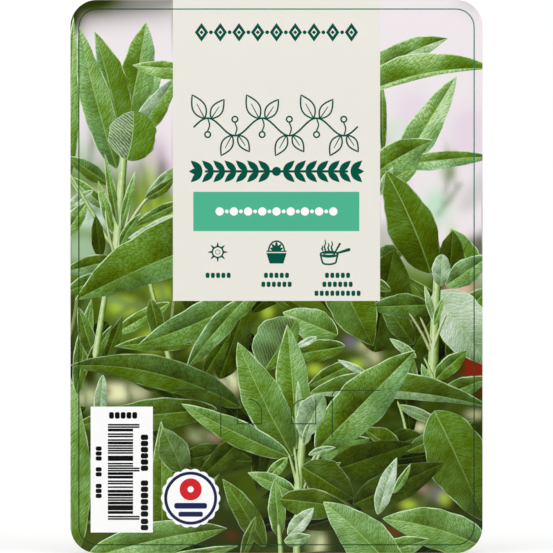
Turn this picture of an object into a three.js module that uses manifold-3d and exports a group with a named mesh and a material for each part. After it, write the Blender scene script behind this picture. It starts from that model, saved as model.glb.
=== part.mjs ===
import * as THREE from 'three';
import { mergeVertices } from 'three/addons/utils/BufferGeometryUtils.js';
import Module from 'manifold-3d';

// A printed plant label: one die-cut plastic card that hangs on the rim of a plant pot.
// Millimetres. +Z runs up the card, the printed face looks along -Y and the back along +Y.
// The origin is on the back face, midway between the rim slits, at the height of the pot's rim.

// The card
const cardWidth = 108;
const cardThickness = 0.5;
const cornerRadius = 7;
const heightAboveRim = 102.3;
const heightBelowRim = 42.7;
const cornerSteps = 16;

// Every die cut is this wide, and its cutter runs past both faces
const cutWidth = 0.25;
const cutOverrun = 0.5;
const weldDistance = 0.0001;

// Two L-shaped slits free the flaps that go behind the pot's rim
const slitInnerX = 14.6;
const slitOuterX = 27.3;
const slitDrop = 12.1;
const slitBend = 1.6;

// Two D-shaped tabs between them, each still joined to the card at its top
const tabOuterX = 10.3;
const tabInnerX = 3.9;
const tabNeckX = 7.4;
const tabTop = -2.4;
const tabFoot = -8.8;
const tabArc = tabNeckX - tabInnerX;
const arcSteps = 8;

// The card's outline, a rounded rectangle drawn in X and height
function cardOutline() {
  const right = cardWidth / 2;
  const left = -right;
  const top = heightAboveRim;
  const foot = -heightBelowRim;
  const r = cornerRadius;
  const outline = new THREE.Shape();
  outline.moveTo(left + r, foot);
  outline.lineTo(right - r, foot);
  outline.absarc(right - r, foot + r, r, -Math.PI / 2, 0);
  outline.lineTo(right, top - r);
  outline.absarc(right - r, top - r, r, 0, Math.PI / 2);
  outline.lineTo(left + r, top);
  outline.absarc(left + r, top - r, r, Math.PI / 2, Math.PI);
  outline.lineTo(left, foot + r);
  outline.absarc(left + r, foot + r, r, Math.PI, Math.PI * 1.5);
  return outline;
}

// The points of an arc round a centre, between two angles
function arcPoints(x, height, radius, from, to) {
  const points = [];
  for (let i = 0; i <= arcSteps; i++) {
    const angle = from + ((to - from) * i) / arcSteps;
    points.push(new THREE.Vector2(x + radius * Math.cos(angle), height + radius * Math.sin(angle)));
  }
  return points;
}

// The middle line of a rim slit: along the rim, round a bend and down
function rimSlitLine() {
  const bend = arcPoints(slitInnerX + slitBend, -slitBend, slitBend, Math.PI / 2, Math.PI);
  return [new THREE.Vector2(slitOuterX, 0), ...bend, new THREE.Vector2(slitInnerX, -slitDrop)];
}

// The middle line of a tab's cut: down its straight side, along its foot, up and over its arc
function tabLine() {
  const arc = arcPoints(tabNeckX, tabTop - tabArc, tabArc, Math.PI, Math.PI / 2);
  return [
    new THREE.Vector2(tabOuterX, tabTop),
    new THREE.Vector2(tabOuterX, tabFoot),
    new THREE.Vector2(tabInnerX, tabFoot),
    ...arc,
  ];
}

// The same line on the other half of the card
function mirrored(line) {
  return line.map((point) => new THREE.Vector2(-point.x, point.y));
}

// A point of a line, moved sideways so that both stretches that meet there keep their distance
function sideStep(line, i, distance) {
  const before = line[Math.max(i - 1, 0)];
  const here = line[i];
  const after = line[Math.min(i + 1, line.length - 1)];
  const into = (i > 0 ? here.clone().sub(before) : after.clone().sub(here)).normalize();
  const out = (i < line.length - 1 ? after.clone().sub(here) : into.clone()).normalize();
  const across = new THREE.Vector2(-into.y - out.y, into.x + out.x).normalize();
  const stretch = across.x * -into.y + across.y * into.x;
  return here.clone().addScaledVector(across, distance / stretch);
}

// The narrow closed outline that follows a line
function slitOutline(line) {
  const leftBank = line.map((_, i) => sideStep(line, i, -cutWidth / 2));
  const rightBank = line.map((_, i) => sideStep(line, i, cutWidth / 2));
  return new THREE.Shape([...leftBank, ...rightBank.reverse()]);
}

const wasm = await Module();
wasm.setup();

// A closed solid of one outline, as thick as asked, that can be joined or cut
function plate(outline, depth, lift) {
  const geometry = new THREE.ExtrudeGeometry(outline, {
    depth,
    curveSegments: cornerSteps,
    bevelEnabled: false,
  });
  geometry.translate(0, 0, lift);
  geometry.deleteAttribute('normal');
  geometry.deleteAttribute('uv');
  const welded = mergeVertices(geometry, weldDistance);
  const mesh = new wasm.Mesh({
    numProp: 3,
    vertProperties: new Float32Array(welded.attributes.position.array),
    triVerts: new Uint32Array(welded.index.array),
  });
  return new wasm.Manifold(mesh);
}

// The finished solid as a geometry for a mesh
function geometryOf(solid) {
  const mesh = solid.getMesh();
  const geometry = new THREE.BufferGeometry();
  geometry.setAttribute('position', new THREE.BufferAttribute(mesh.vertProperties, 3));
  geometry.setIndex(new THREE.BufferAttribute(mesh.triVerts, 1));
  geometry.computeVertexNormals();
  return geometry;
}

const plastic = new THREE.MeshStandardMaterial({
  name: 'card_plastic',
  color: 0xf2f1ec,
  roughness: 0.38,
  metalness: 0,
});

function labelCard() {
  const lines = [rimSlitLine(), tabLine()];
  let solid = plate(cardOutline(), cardThickness, 0);
  for (const line of [...lines, ...lines.map(mirrored)]) {
    solid = solid.subtract(plate(slitOutline(line), cardThickness + 2 * cutOverrun, -cutOverrun));
  }
  const card = new THREE.Mesh(geometryOf(solid), plastic);
  card.name = 'label_card';
  card.rotation.x = Math.PI / 2; // stands the drawing up, with its front towards -Y
  return card;
}

const label = new THREE.Group();
label.name = 'plant_label';
label.add(labelCard());

export default label;
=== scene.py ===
import bpy
import math
import random
import numpy as np
from mathutils import Matrix, Vector
from mathutils.geometry import delaunay_2d_cdt


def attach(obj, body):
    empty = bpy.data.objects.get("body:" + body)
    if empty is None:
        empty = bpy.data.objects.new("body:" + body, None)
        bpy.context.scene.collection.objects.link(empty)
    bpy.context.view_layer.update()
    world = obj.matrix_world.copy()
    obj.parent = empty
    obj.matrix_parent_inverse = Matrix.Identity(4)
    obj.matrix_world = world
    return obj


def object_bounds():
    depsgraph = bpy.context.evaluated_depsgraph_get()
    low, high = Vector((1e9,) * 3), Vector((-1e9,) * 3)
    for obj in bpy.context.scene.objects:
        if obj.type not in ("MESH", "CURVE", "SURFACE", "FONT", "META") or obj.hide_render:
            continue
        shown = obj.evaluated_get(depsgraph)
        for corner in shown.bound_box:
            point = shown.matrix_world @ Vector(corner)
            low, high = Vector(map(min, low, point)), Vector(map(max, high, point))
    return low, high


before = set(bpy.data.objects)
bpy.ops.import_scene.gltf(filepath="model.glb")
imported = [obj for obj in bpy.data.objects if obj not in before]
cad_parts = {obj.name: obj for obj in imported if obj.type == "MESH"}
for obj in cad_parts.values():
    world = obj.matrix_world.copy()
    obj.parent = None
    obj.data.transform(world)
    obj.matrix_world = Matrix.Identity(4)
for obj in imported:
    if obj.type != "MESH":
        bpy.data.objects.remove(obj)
cadLow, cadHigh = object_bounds()
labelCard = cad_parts["label_card"]
print("card loaded", [round(v, 4) for v in (*cadLow, *cadHigh)])

mm = 0.001
inkStep = 0.01  # how far each layer of ink stands before the one below, in mm

# The card in the picture's own millimetres: X to the right, height up, nought at the pot's rim
card = {
    "left": cadLow.x / mm,
    "right": cadHigh.x / mm,
    "foot": cadLow.z / mm,
    "top": cadHigh.z / mm,
    "front": cadLow.y / mm,
    "back": cadHigh.y / mm,
}

# The clear coat over every ink
varnish = {"roughness": 0.25, "coat": 0.06, "gloss": 0.18}


# A colour as read off a screen, from 0 to 255, in the linear values that a shader takes. The strength is the
# share of the light that it gives back. The lamps are set so that the white ink shows as full white.
def ink(red, green, blue, strength=0.91):
    def linear(v):
        v = v / 255
        return strength * (v / 12.92 if v <= 0.04045 else ((v + 0.055) / 1.055) ** 2.4)
    return (linear(red), linear(green), linear(blue), 1.0)


# One socket, so that shader maths reads as plain sums
class Wire:
    def __init__(self, shader, socket):
        self.shader = shader
        self.socket = socket

    def maths(self, operation, *others):
        inputs = dict(enumerate((self, *others)))
        return self.shader.node("ShaderNodeMath", {"operation": operation}, inputs)

    def __add__(self, other):
        return self.maths("ADD", other)

    def __sub__(self, other):
        return self.maths("SUBTRACT", other)

    def __mul__(self, other):
        return self.maths("MULTIPLY", other)

    def __truediv__(self, other):
        return self.maths("DIVIDE", other)

    def __rsub__(self, other):
        return (self * -1) + other

    def __rtruediv__(self, other):
        return self.shader.node("ShaderNodeMath", {"operation": "DIVIDE"}, {0: other, 1: self})

    __radd__ = __add__
    __rmul__ = __mul__

    def least(self, other):
        return self.maths("MINIMUM", other)

    def most(self, other):
        return self.maths("MAXIMUM", other)

    def size(self):
        return self.maths("ABSOLUTE")

    def sine(self):
        return self.maths("SINE")

    # 0 below low, 1 above high, smooth between
    def step(self, low, high):
        inputs = {"Value": self, "From Min": low, "From Max": high}
        return self.shader.node("ShaderNodeMapRange", {"interpolation_type": "SMOOTHSTEP"}, inputs)


class Shader:
    def __init__(self, name, roughness=0.4, coat=0.0, gloss=0.5):
        self.material = bpy.data.materials.new(name)
        self.material.use_nodes = True
        self.tree = self.material.node_tree
        self.surface = self.tree.nodes["Principled BSDF"]
        self.surface.inputs["Roughness"].default_value = roughness
        self.surface.inputs["Coat Weight"].default_value = coat
        self.surface.inputs["Specular IOR Level"].default_value = gloss

    # Makes a node, sets it up, then fills or links its sockets
    def node(self, kind, settings=None, inputs=None, output=0):
        made = self.tree.nodes.new(kind)
        for key, value in (settings or {}).items():
            if key == "stops":
                self.fillRamp(made.color_ramp, value)
            else:
                setattr(made, key, value)
        for key, value in (inputs or {}).items():
            if isinstance(value, Wire):
                self.tree.links.new(value.socket, made.inputs[key])
            else:
                made.inputs[key].default_value = value
        return Wire(self, made.outputs[output])

    def fillRamp(self, ramp, stops):
        while len(ramp.elements) < len(stops):
            ramp.elements.new(0.5)
        for element, (place, colour) in zip(ramp.elements, stops):
            element.position = place
            element.color = colour

    # Where a point lies on the object, in metres
    def place(self):
        return self.node("ShaderNodeTexCoord", output=3)

    def uvMap(self, name):
        return self.node("ShaderNodeUVMap", {"uv_map": name})

    def axis(self, wire, which):
        return self.node("ShaderNodeSeparateXYZ", {}, {0: wire}, which)

    def channel(self, wire, which):
        return self.node("ShaderNodeSeparateColor", {}, {0: wire}, which)

    def attribute(self, name, output):
        return self.node("ShaderNodeAttribute", {"attribute_name": name}, {}, output)

    def ramp(self, wire, stops):
        return self.node("ShaderNodeValToRGB", {"stops": stops}, {0: wire})

    def mix(self, mask, under, over):
        return self.node("ShaderNodeMix", {"data_type": "RGBA"}, {0: mask, 6: under, 7: over}, 2)

    def vector(self, x, y, z=0.0):
        return self.node("ShaderNodeCombineXYZ", {}, {0: x, 1: y, 2: z})

    def noise(self, place, scale, detail=2.0):
        inputs = {"Vector": place, "Scale": scale, "Detail": detail}
        return self.node("ShaderNodeTexNoise", {}, inputs)

    def feed(self, socket, wire):
        self.tree.links.new(wire.socket, self.surface.inputs[socket])


# How a solid ink varies: the scales of its clouds and its grain, how much more the clouds tell, and how far
# its shade and its gloss swing
inkBed = {"clouds": 260, "grain": 2400, "cloudShare": 1.2, "swing": 0.18, "uneven": 0.10}


# One solid ink on the satin sheet: the press leaves it faintly mottled, and the gloss varies a little
def solidInk(name, colour, mottle=0.05, alpha=1.0):
    s = Shader(name, **varnish)
    place = s.place()
    clouds = s.noise(place, inkBed["clouds"], 3.0) - 0.5
    grain = s.noise(place, inkBed["grain"], 2.0) - 0.5
    worn = (clouds * inkBed["cloudShare"] + grain) * mottle
    shade, light = (tuple(min(1.0, c * share) for c in colour[:3]) + (1.0,)
                    for share in (1 - inkBed["swing"], 1 + inkBed["swing"]))
    s.feed("Base Color", s.mix((worn + 0.5).most(0).least(1), shade, light))
    s.feed("Roughness", varnish["roughness"] + clouds * inkBed["uneven"])
    s.surface.inputs["Alpha"].default_value = alpha
    return s.material


# The edges of the card and of its die cuts, as loops of points on its printed face
def frontLoops():
    mesh = labelCard.data
    key = [tuple(round(c / mm, 3) for c in v.co) for v in mesh.vertices]
    edges = []
    for face in mesh.polygons:
        if face.normal.y < -0.9:
            corners = [key[i] for i in face.vertices]
            edges += zip(corners, corners[1:] + corners[:1])
    known = set(edges)
    rim = {start: end for start, end in edges if (end, start) not in known}
    loops = []
    while rim:
        start, here = rim.popitem()
        loop = [start]
        while here != loop[0]:
            loop.append(here)
            here = rim.pop(here)
        loops.append([(x, z) for x, y, z in loop])
    return sorted(loops, key=lambda loop: -abs(areaOf(loop)))


def areaOf(points):
    x, z = np.array(points).T
    return float(np.sum(x * np.roll(z, -1) - np.roll(x, -1) * z)) / 2


cardEdge, *dieCuts = frontLoops()
print("edges read:", len(cardEdge), "points round the card,", len(dieCuts), "die cuts")


# How far to the front a layer of ink stands: 1 is the picture and the panel, 2 what is printed on them
def depthOf(layer):
    return (card["front"] - inkStep * layer) * mm


# A new flat primitive that faces the front, with its place kept in its mesh
def addFlat(kind, x, z, width, height=1.0, layer=2, corner=0.0, points=40):
    bpy.ops.object.select_all(action="DESELECT")
    place = {"location": (x * mm, depthOf(layer), z * mm), "rotation": (math.pi / 2, 0, 0)}
    if kind == "disc":
        bpy.ops.mesh.primitive_circle_add(vertices=points, radius=width / 2 * mm, fill_type="NGON", **place)
    else:
        bpy.ops.mesh.primitive_plane_add(size=mm, **place)
        bpy.context.object.scale = (width, height, 1)
    bpy.ops.object.transform_apply(location=True, rotation=True, scale=True)
    if corner:
        bpy.ops.object.mode_set(mode="EDIT")
        bpy.ops.mesh.select_all(action="SELECT")
        bpy.ops.mesh.bevel(offset=corner * mm, segments=8, affect="VERTICES")
        bpy.ops.object.mode_set(mode="OBJECT")
    return bpy.context.object


# Keeps only a rim of the flat shape that was added last
def hollow(width):
    bpy.ops.object.mode_set(mode="EDIT")
    bpy.ops.mesh.select_all(action="SELECT")
    bpy.ops.mesh.inset(thickness=width * mm)
    bpy.ops.mesh.delete(type="FACE")
    bpy.ops.object.mode_set(mode="OBJECT")
    return bpy.context.object


# Copies a piece, each copy with its own mesh, moved to the right by so many mm and turned about a point
def copied(piece, dx=0.0, turn=0.0, about=(0.0, 0.0)):
    twin = piece.copy()
    twin.data = piece.data.copy()
    bpy.context.scene.collection.objects.link(twin)
    centre = Vector((about[0] * mm, 0, about[1] * mm))
    move = Matrix.Translation(centre + Vector((dx * mm, 0, 0)))
    twin.data.transform(move @ Matrix.Rotation(-math.radians(turn), 4, "Y") @ Matrix.Translation(-centre))
    return twin


# A drawn line of ink: a flat ribbon with round ends, as wide as it is told to be at each end
def drawn(path, width, endWidth=None, layer=2):
    path = np.array(path, float)
    run = np.gradient(path, axis=0)
    run /= np.linalg.norm(run, axis=1)[:, None]
    left = np.stack([-run[:, 1], run[:, 0]], 1)
    half = np.linspace(width, width if endWidth is None else endWidth, len(path)) / 2
    sides = [path + left * half[:, None], path - left * half[:, None]]
    spots = np.concatenate(sides)
    last = len(path)
    faces = [[i, i + last, i + last + 1, i + 1] for i in range(last - 1)]
    for end, way in ((0, -1), (last - 1, 1)):
        start = len(spots)
        sweep = np.linspace(-math.pi / 2, math.pi / 2, 7)[1:-1] * -way
        arc = np.cos(sweep)[:, None] * run[end] * way + np.sin(sweep)[:, None] * left[end]
        spots = np.concatenate([spots, path[end] + half[end] * arc])
        tip = list(range(start, start + len(arc)))
        faces.append([end, *tip, end + last] if way > 0 else [end + last, *tip, end])
    return inkMesh(spots, faces, layer)


# A mesh from spots in mm on the card, turned so that every face looks to the front
def inkMesh(spots, faces, layer=2):
    mesh = bpy.data.meshes.new("ink")
    faces = [f if areaOf([spots[i] for i in f]) > 0 else f[::-1] for f in faces]
    mesh.from_pydata([(x * mm, depthOf(layer), z * mm) for x, z in spots], [], faces)
    piece = bpy.data.objects.new("ink", mesh)
    bpy.context.scene.collection.objects.link(piece)
    return piece


# A smooth run through a few points
def smoothPath(points, steps=8):
    points = np.array(points, float)
    ends = np.concatenate([[2 * points[0] - points[1]], points, [2 * points[-1] - points[-2]]])
    path = []
    for a, b, c, d in zip(ends, ends[1:], ends[2:], ends[3:]):
        for t in np.linspace(0, 1, steps, endpoint=False):
            path.append(0.5 * (2 * b + (c - a) * t + (2 * a - 5 * b + 4 * c - d) * t**2
                               + (3 * b - a - 3 * c + d) * t**3))
    return np.array(path + [points[-1]])


# The outline of a small drawn leaf, from its foot round its tip and back
def leafRing(x, z, aim, length, width, steps=14):
    u = np.linspace(0, 1, steps)
    wide = width / 2 * np.sin(math.pi * u**0.85)
    along = np.array([math.cos(math.radians(aim)), math.sin(math.radians(aim))])
    left = np.array([-along[1], along[0]])
    side = [np.array([x, z]) + u[:, None] * length * along + way * wide[:, None] * left for way in (1, -1)]
    return np.concatenate([side[0], side[1][-2:0:-1]])


# The same leaf, filled with ink
def leafFilled(x, z, aim, length, width):
    ring = leafRing(x, z, aim, length, width)
    return inkMesh(ring, [list(range(len(ring)))])


# Leaves out the spots that no face uses
def usedOnly(spots, faces):
    used = sorted({i for face in faces for i in face})
    place = {old: new for new, old in enumerate(used)}
    return [spots[i] for i in used], [[place[i] for i in face] for face in faces]


# Makes one flat mesh of shapes that overlap, so that no ink lies over the same ink
def merged(mark):
    tiny = 1e-5  # what counts as one spot, in mm, and as no face at all, in square mm
    depth = mark.data.vertices[0].co.y
    spots, faces = [], []
    mark.data.calc_loop_triangles()
    for face in mark.data.loop_triangles:
        loop = [(mark.data.vertices[i].co.x / mm, mark.data.vertices[i].co.z / mm) for i in face.vertices]
        if abs(areaOf(loop)) < tiny:
            continue
        loop = loop if areaOf(loop) > 0 else loop[::-1]
        faces.append(list(range(len(spots), len(spots) + len(loop))))
        spots += loop
    flat, _, cut, _, _, inside = delaunay_2d_cdt([Vector(p) for p in spots], [], faces, 1, tiny, True)
    cut = [corners for corners, within in zip(cut, inside) if within]
    kept = [corners if areaOf([flat[i] for i in corners]) > 0 else corners[::-1] for corners in cut]
    spots, faces = usedOnly(flat, kept)
    mesh = bpy.data.meshes.new(mark.name)
    mesh.from_pydata([(p.x * mm, depth, p.y * mm) for p in spots], [], faces)
    mark.data = mesh


# Joins the parts of one mark into one piece of the label
def finishMark(name, parts, material, flat=True):
    bpy.ops.object.select_all(action="DESELECT")
    for part in parts:
        part.select_set(True)
    bpy.context.view_layer.objects.active = parts[0]
    if len(parts) > 1:
        bpy.ops.object.join()
    mark = bpy.context.view_layer.objects.active
    if len(parts) > 1 and flat:
        merged(mark)
    mark.name = mark.data.name = name
    mark.data.materials.clear()
    mark.data.materials.append(material)
    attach(mark, "root")
    return mark


darkInk = solidInk("dark green ink", ink(4, 84, 66))
creamInk = solidInk("cream ink", ink(237, 234, 225), mottle=0.02)
whiteInk = solidInk("white ink", ink(255, 255, 255, 0.99), mottle=0.01)
blackInk = solidInk("black ink", ink(16, 14, 14))

panel = {"middle": 0.0, "width": 54.3, "foot": 23.4, "corner": 0.12}
band = {"middle": -0.05, "height": 46.85, "width": 43.5, "tall": 10.3, "corner": 0.15}


def infoPanel():
    height = card["top"] - panel["foot"]
    middle = (panel["middle"], panel["foot"] + height / 2)
    plain = addFlat("plate", *middle, panel["width"], height, 1, panel["corner"])
    finishMark("info_panel", [plain], creamInk)
    tealInk = solidInk("teal ink", ink(80, 183, 147))
    plate = addFlat("plate", band["middle"], band["height"], band["width"], band["tall"],
                    corner=band["corner"])
    finishMark("flavour_band", [plate], tealInk)


beads = {"half": 14.9, "large": 2.2, "small": 1.0, "count": 9}


# White beads along the band
def bandBeads():
    step = 2 * beads["half"] / (beads["count"] - 1)
    large = addFlat("disc", -beads["half"], band["height"], beads["large"], layer=3, points=24)
    small = addFlat("disc", -beads["half"] + step / 2, band["height"], beads["small"], layer=3, points=16)
    parts = [large, small]
    parts += [copied(large, dx=i * step) for i in range(1, beads["count"])]
    parts += [copied(small, dx=i * step) for i in range(1, beads["count"] - 1)]
    finishMark("band_beads", parts, whiteInk)


frieze = {"height": 93.8, "half": 21.4, "count": 9, "tall": 4.9, "wide": 3.5, "rim": 0.75, "heart": 1.1,
          "bead": 1.0}


# Lozenges and beads in a row across the top
def topFrieze():
    step = 2 * (frieze["half"] - frieze["wide"] / 2) / (frieze["count"] - 1)
    first = -frieze["half"] + frieze["wide"] / 2
    lozenge = addFlat("disc", first, frieze["height"], frieze["wide"], points=4)
    lozenge.data.transform(Matrix.Translation((first * mm, 0, frieze["height"] * mm))
                           @ Matrix.Diagonal((1, 1, frieze["tall"] / frieze["wide"], 1))
                           @ Matrix.Translation((-first * mm, 0, -frieze["height"] * mm)))
    hollow(frieze["rim"])
    heart = addFlat("disc", first, frieze["height"], frieze["heart"], points=4)
    bead = addFlat("disc", first + step / 2, frieze["height"], frieze["bead"], points=16)
    parts = [lozenge, heart, bead]
    parts += [copied(piece, dx=i * step) for i in range(1, frieze["count"]) for piece in (lozenge, heart)]
    parts += [copied(bead, dx=i * step) for i in range(1, frieze["count"] - 1)]
    finishMark("top_frieze", parts, darkInk)


vine = {"left": -21.6, "right": 21.2, "height": 69.0, "swing": 2.3, "waves": 3, "line": 0.46,
        "leaf": 7.0, "leafWide": 3.4, "berry": 1.9, "berryDrop": 4.3,
        "low": 0.86}  # how large the leaves below the vine are beside those above it


# A thin drawn vine with open leaves
def thinVine():
    length = vine["right"] - vine["left"]
    turns = 2 * math.pi * vine["waves"] / length
    x = np.linspace(vine["left"], vine["right"], 90)
    z = vine["height"] + vine["swing"] * np.sin(turns * (x - vine["left"]))
    parts = [drawn(np.stack([x, z], 1), vine["line"])]
    half = length / vine["waves"] / 2
    for i in range(2 * vine["waves"]):
        middle = vine["left"] + (i + 0.5) * half
        up = 1 if i % 2 == 0 else -1
        crest = vine["height"] + up * vine["swing"]
        full = 1 if up > 0 else vine["low"]
        for reach, aim, size in ((-1.3, 118, full), (1.5, 56, 0.86 * full)):
            foot = (middle + reach * 0.6, crest - up * 0.1)
            ring = leafRing(*foot, aim * up, vine["leaf"] * size, vine["leafWide"] * size)
            parts.append(drawn(np.concatenate([ring, ring[:1]]), vine["line"] * 0.9))
            turn = math.radians(aim * up)
            tip = (foot[0] + math.cos(turn) * vine["leaf"] * size * 0.62,
                   foot[1] + math.sin(turn) * vine["leaf"] * size * 0.62)
            parts.append(drawn(np.linspace(foot, tip, 4), vine["line"] * 0.7, 0.2))
        stalk = [(middle, crest), (middle + 0.5, crest - up * 1.8), (middle, crest - up * 3.4)]
        parts.append(drawn(smoothPath(stalk), vine["line"] * 0.8))
        addFlat("disc", middle, crest - up * vine["berryDrop"], vine["berry"], points=20)
        parts.append(hollow(vine["line"] * 0.9))
    finishMark("thin_vine", parts, darkInk)


garland = {"half": 21.5, "height": 57.35, "leaf": 4.2, "wide": 1.72, "open": 43, "first": 1.7,
           "pitch": 2.95, "line": 0.62, "bead": 2.4}


# A bold garland of filled leaves that run out from the middle
def boldGarland():
    level, end = garland["height"], garland["half"] - 3
    parts = [drawn([(-end, level), (0, level), (end, level)], garland["line"])]
    count = int((garland["half"] - garland["leaf"] * 0.8) / garland["pitch"])
    for way in (1, -1):
        for i in range(count + 1):
            x = way * (garland["first"] + i * garland["pitch"])
            aim = garland["open"] if way > 0 else 180 - garland["open"]
            for up in (1, -1):
                parts.append(leafFilled(x, level, aim * up, garland["leaf"], garland["wide"]))
        last = way * (garland["first"] + count * garland["pitch"])
        parts.append(leafFilled(last, level, 90 - 90 * way, garland["leaf"] * 0.85, garland["wide"]))
    parts.append(addFlat("disc", 0, level, garland["bead"], points=24))
    finishMark("bold_garland", parts, darkInk)


sun = {"x": -15.4, "z": 36.2, "radius": 1.62, "line": 0.4, "eye": 1.3, "eyeLine": 0.13,
       "rays": 8, "reach": 2.5, "rayFoot": 0.62, "rayTip": 0.18}


def sunSign():
    addFlat("disc", sun["x"], sun["z"], 2 * sun["radius"])
    parts = [hollow(sun["line"])]
    addFlat("disc", sun["x"], sun["z"], sun["eye"], points=24)
    parts.append(hollow(sun["eyeLine"]))
    top = sun["z"] + sun["radius"] - 0.1
    ray = drawn([(sun["x"], top), (sun["x"], sun["z"] + sun["reach"])], sun["rayFoot"], sun["rayTip"])
    parts.append(ray)
    for i in range(1, sun["rays"]):
        parts.append(copied(ray, turn=i * 360 / sun["rays"], about=(sun["x"], sun["z"])))
    finishMark("sun_sign", parts, darkInk)


pot = {"x": 0.0, "rim": 36.42, "half": 2.65, "lip": 0.36, "body": 35.95, "foot": 33.2, "footHalf": 1.8,
       "leaves": ((90, 2.7), (56, 2.4), (124, 2.4), (24, 2.0), (156, 2.0)),  # aim and length
       "leafWide": 0.8, "domeHalf": 2.05, "domeTall": 2.55, "line": 0.42}


def potSign():
    x, rim = pot["x"], pot["rim"]
    body = inkMesh([(x - pot["half"], pot["body"]), (x - pot["footHalf"], pot["foot"]),
                    (x + pot["footHalf"], pot["foot"]), (x + pot["half"], pot["body"])], [[0, 1, 2, 3]])
    lip = addFlat("plate", x, rim, 2 * pot["half"], pot["lip"], corner=0.14)
    parts = [body, lip]
    for aim, length in pot["leaves"]:
        parts.append(leafFilled(x, rim + 0.1, aim, length, pot["leafWide"]))
    bow = np.linspace(0.05, math.pi - 0.05, 24)
    dome = [(x + pot["domeHalf"] * math.cos(a), rim + 0.1 + pot["domeTall"] * math.sin(a)) for a in bow]
    parts.append(drawn(dome, pot["line"]))
    finishMark("pot_sign", parts, darkInk)


pan = {"x": 13.8, "rim": 35.65, "half": 2.25, "mouth": 0.68, "foot": 33.0, "line": 0.5, "wallLine": 0.46,
       "steam": ((-1.7, 1.0), (-1.0, 2.6), (-0.1, 1.7), (0.8, 2.2))}  # place and height of each curl


def panSign():
    x, rim = pan["x"], pan["rim"]
    turn = np.linspace(0, 2 * math.pi, 33)
    mouth = np.stack([x + pan["half"] * np.cos(turn), rim + pan["mouth"] * np.sin(turn)], 1)
    soup = np.stack([x + 1.5 * np.cos(turn), rim - 0.02 + 0.3 * np.sin(turn)], 1)
    parts = [drawn(mouth, pan["line"]), drawn(soup, 0.3)]
    wall = [(x - pan["half"], rim - 0.1), (x - 1.9, rim - 1.6), (x - 1.5, pan["foot"] + 0.2),
            (x - 0.3, pan["foot"]), (x + 0.8, pan["foot"] + 0.08), (x + 1.7, pan["foot"] + 0.45),
            (x + 1.95, rim - 1.3), (x + pan["half"], rim - 0.1)]
    handle = drawn([(x + 2.2, rim + 0.3), (x + 5.2, rim + 1.2)], pan["line"], 0.85)
    spoon = drawn([(x + 1.4, rim + 0.2), (x + 2.8, rim + 2.7)], 0.4, 0.55)
    parts += [drawn(smoothPath(wall), pan["wallLine"]), handle, spoon]
    for start, tall in pan["steam"]:
        base = (x + start, rim + 1.1)
        curl = [base, (base[0] - 0.22, base[1] + tall * 0.35), (base[0] + 0.04, base[1] + tall * 0.65),
                (base[0] - 0.08, base[1] + tall)]
        parts.append(drawn(smoothPath(curl), pan["wallLine"], 0.26))
    finishMark("pan_sign", parts, darkInk)


# Rows of small beads under the signs: middle, height and length of each
captions = {
    "bead": 1.22,
    "pitch": 1.38,
    "rows": [(-15.3, 30.1, 6.9), (0.0, 30.1, 6.7), (0.0, 27.75, 8.9), (16.0, 30.1, 7.2), (16.0, 27.75, 8.8),
             (16.0, 25.4, 11.8)],
}


# A row of one bead and its copies, drawn side by side by an array
def beadRow(x, z, length, bead, pitch, upright=False):
    count = max(2, round(length / pitch))
    start = -(count - 1) * pitch / 2
    first = (x, z + start) if upright else (x + start, z)
    wide, tall = (bead * 1.12, bead * 0.82) if upright else (bead * 0.82, bead * 1.12)
    dot = addFlat("plate", *first, wide, tall, corner=bead * 0.3)
    row = dot.modifiers.new("row", "ARRAY")
    row.count = count
    row.use_relative_offset = False
    row.use_constant_offset = True
    row.constant_offset_displace = (0, 0, pitch * mm) if upright else (pitch * mm, 0, 0)
    bpy.ops.object.modifier_apply(modifier="row")
    return dot


def captionRows():
    parts = [beadRow(*row, captions["bead"], captions["pitch"]) for row in captions["rows"]]
    finishMark("caption_rows", parts, darkInk)


code = {
    "left": -48.7, "right": -32.4, "foot": -37.3, "top": -4.3,
    "barsLeft": -44.2, "barsRight": -37.6, "barsFoot": -33.9, "barsTop": -8.9,
    "guardsRight": -35.9,
    "bars": (1, 1, 2, 2, 4),  # widths to draw from, in modules
    "gaps": (1, 1, 1, 2, 2),
    "group": 24,  # bars and gaps in each half
    "spread": 0.13,  # how much wider the ink makes each bar, in mm
    "seed": 5,
    # rows of beads, one across the box and the others up it: x, height, length, bead and pitch
    "levelRow": (-40.2, -6.6, 7.6, 1.55, 1.52),
    "uprightRows": [(-34.6, -28.4, 9.6, 1.75, 1.62), (-34.6, -16.4, 9.6, 1.75, 1.62),
                    (-34.6, -35.2, 0.2, 1.75, 1.62), (-46.6, -26.4, 3.6, 1.4, 1.3),
                    (-46.6, -21.4, 2.6, 1.4, 1.3), (-46.6, -16.6, 4.0, 1.4, 1.3)],
}


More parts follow.
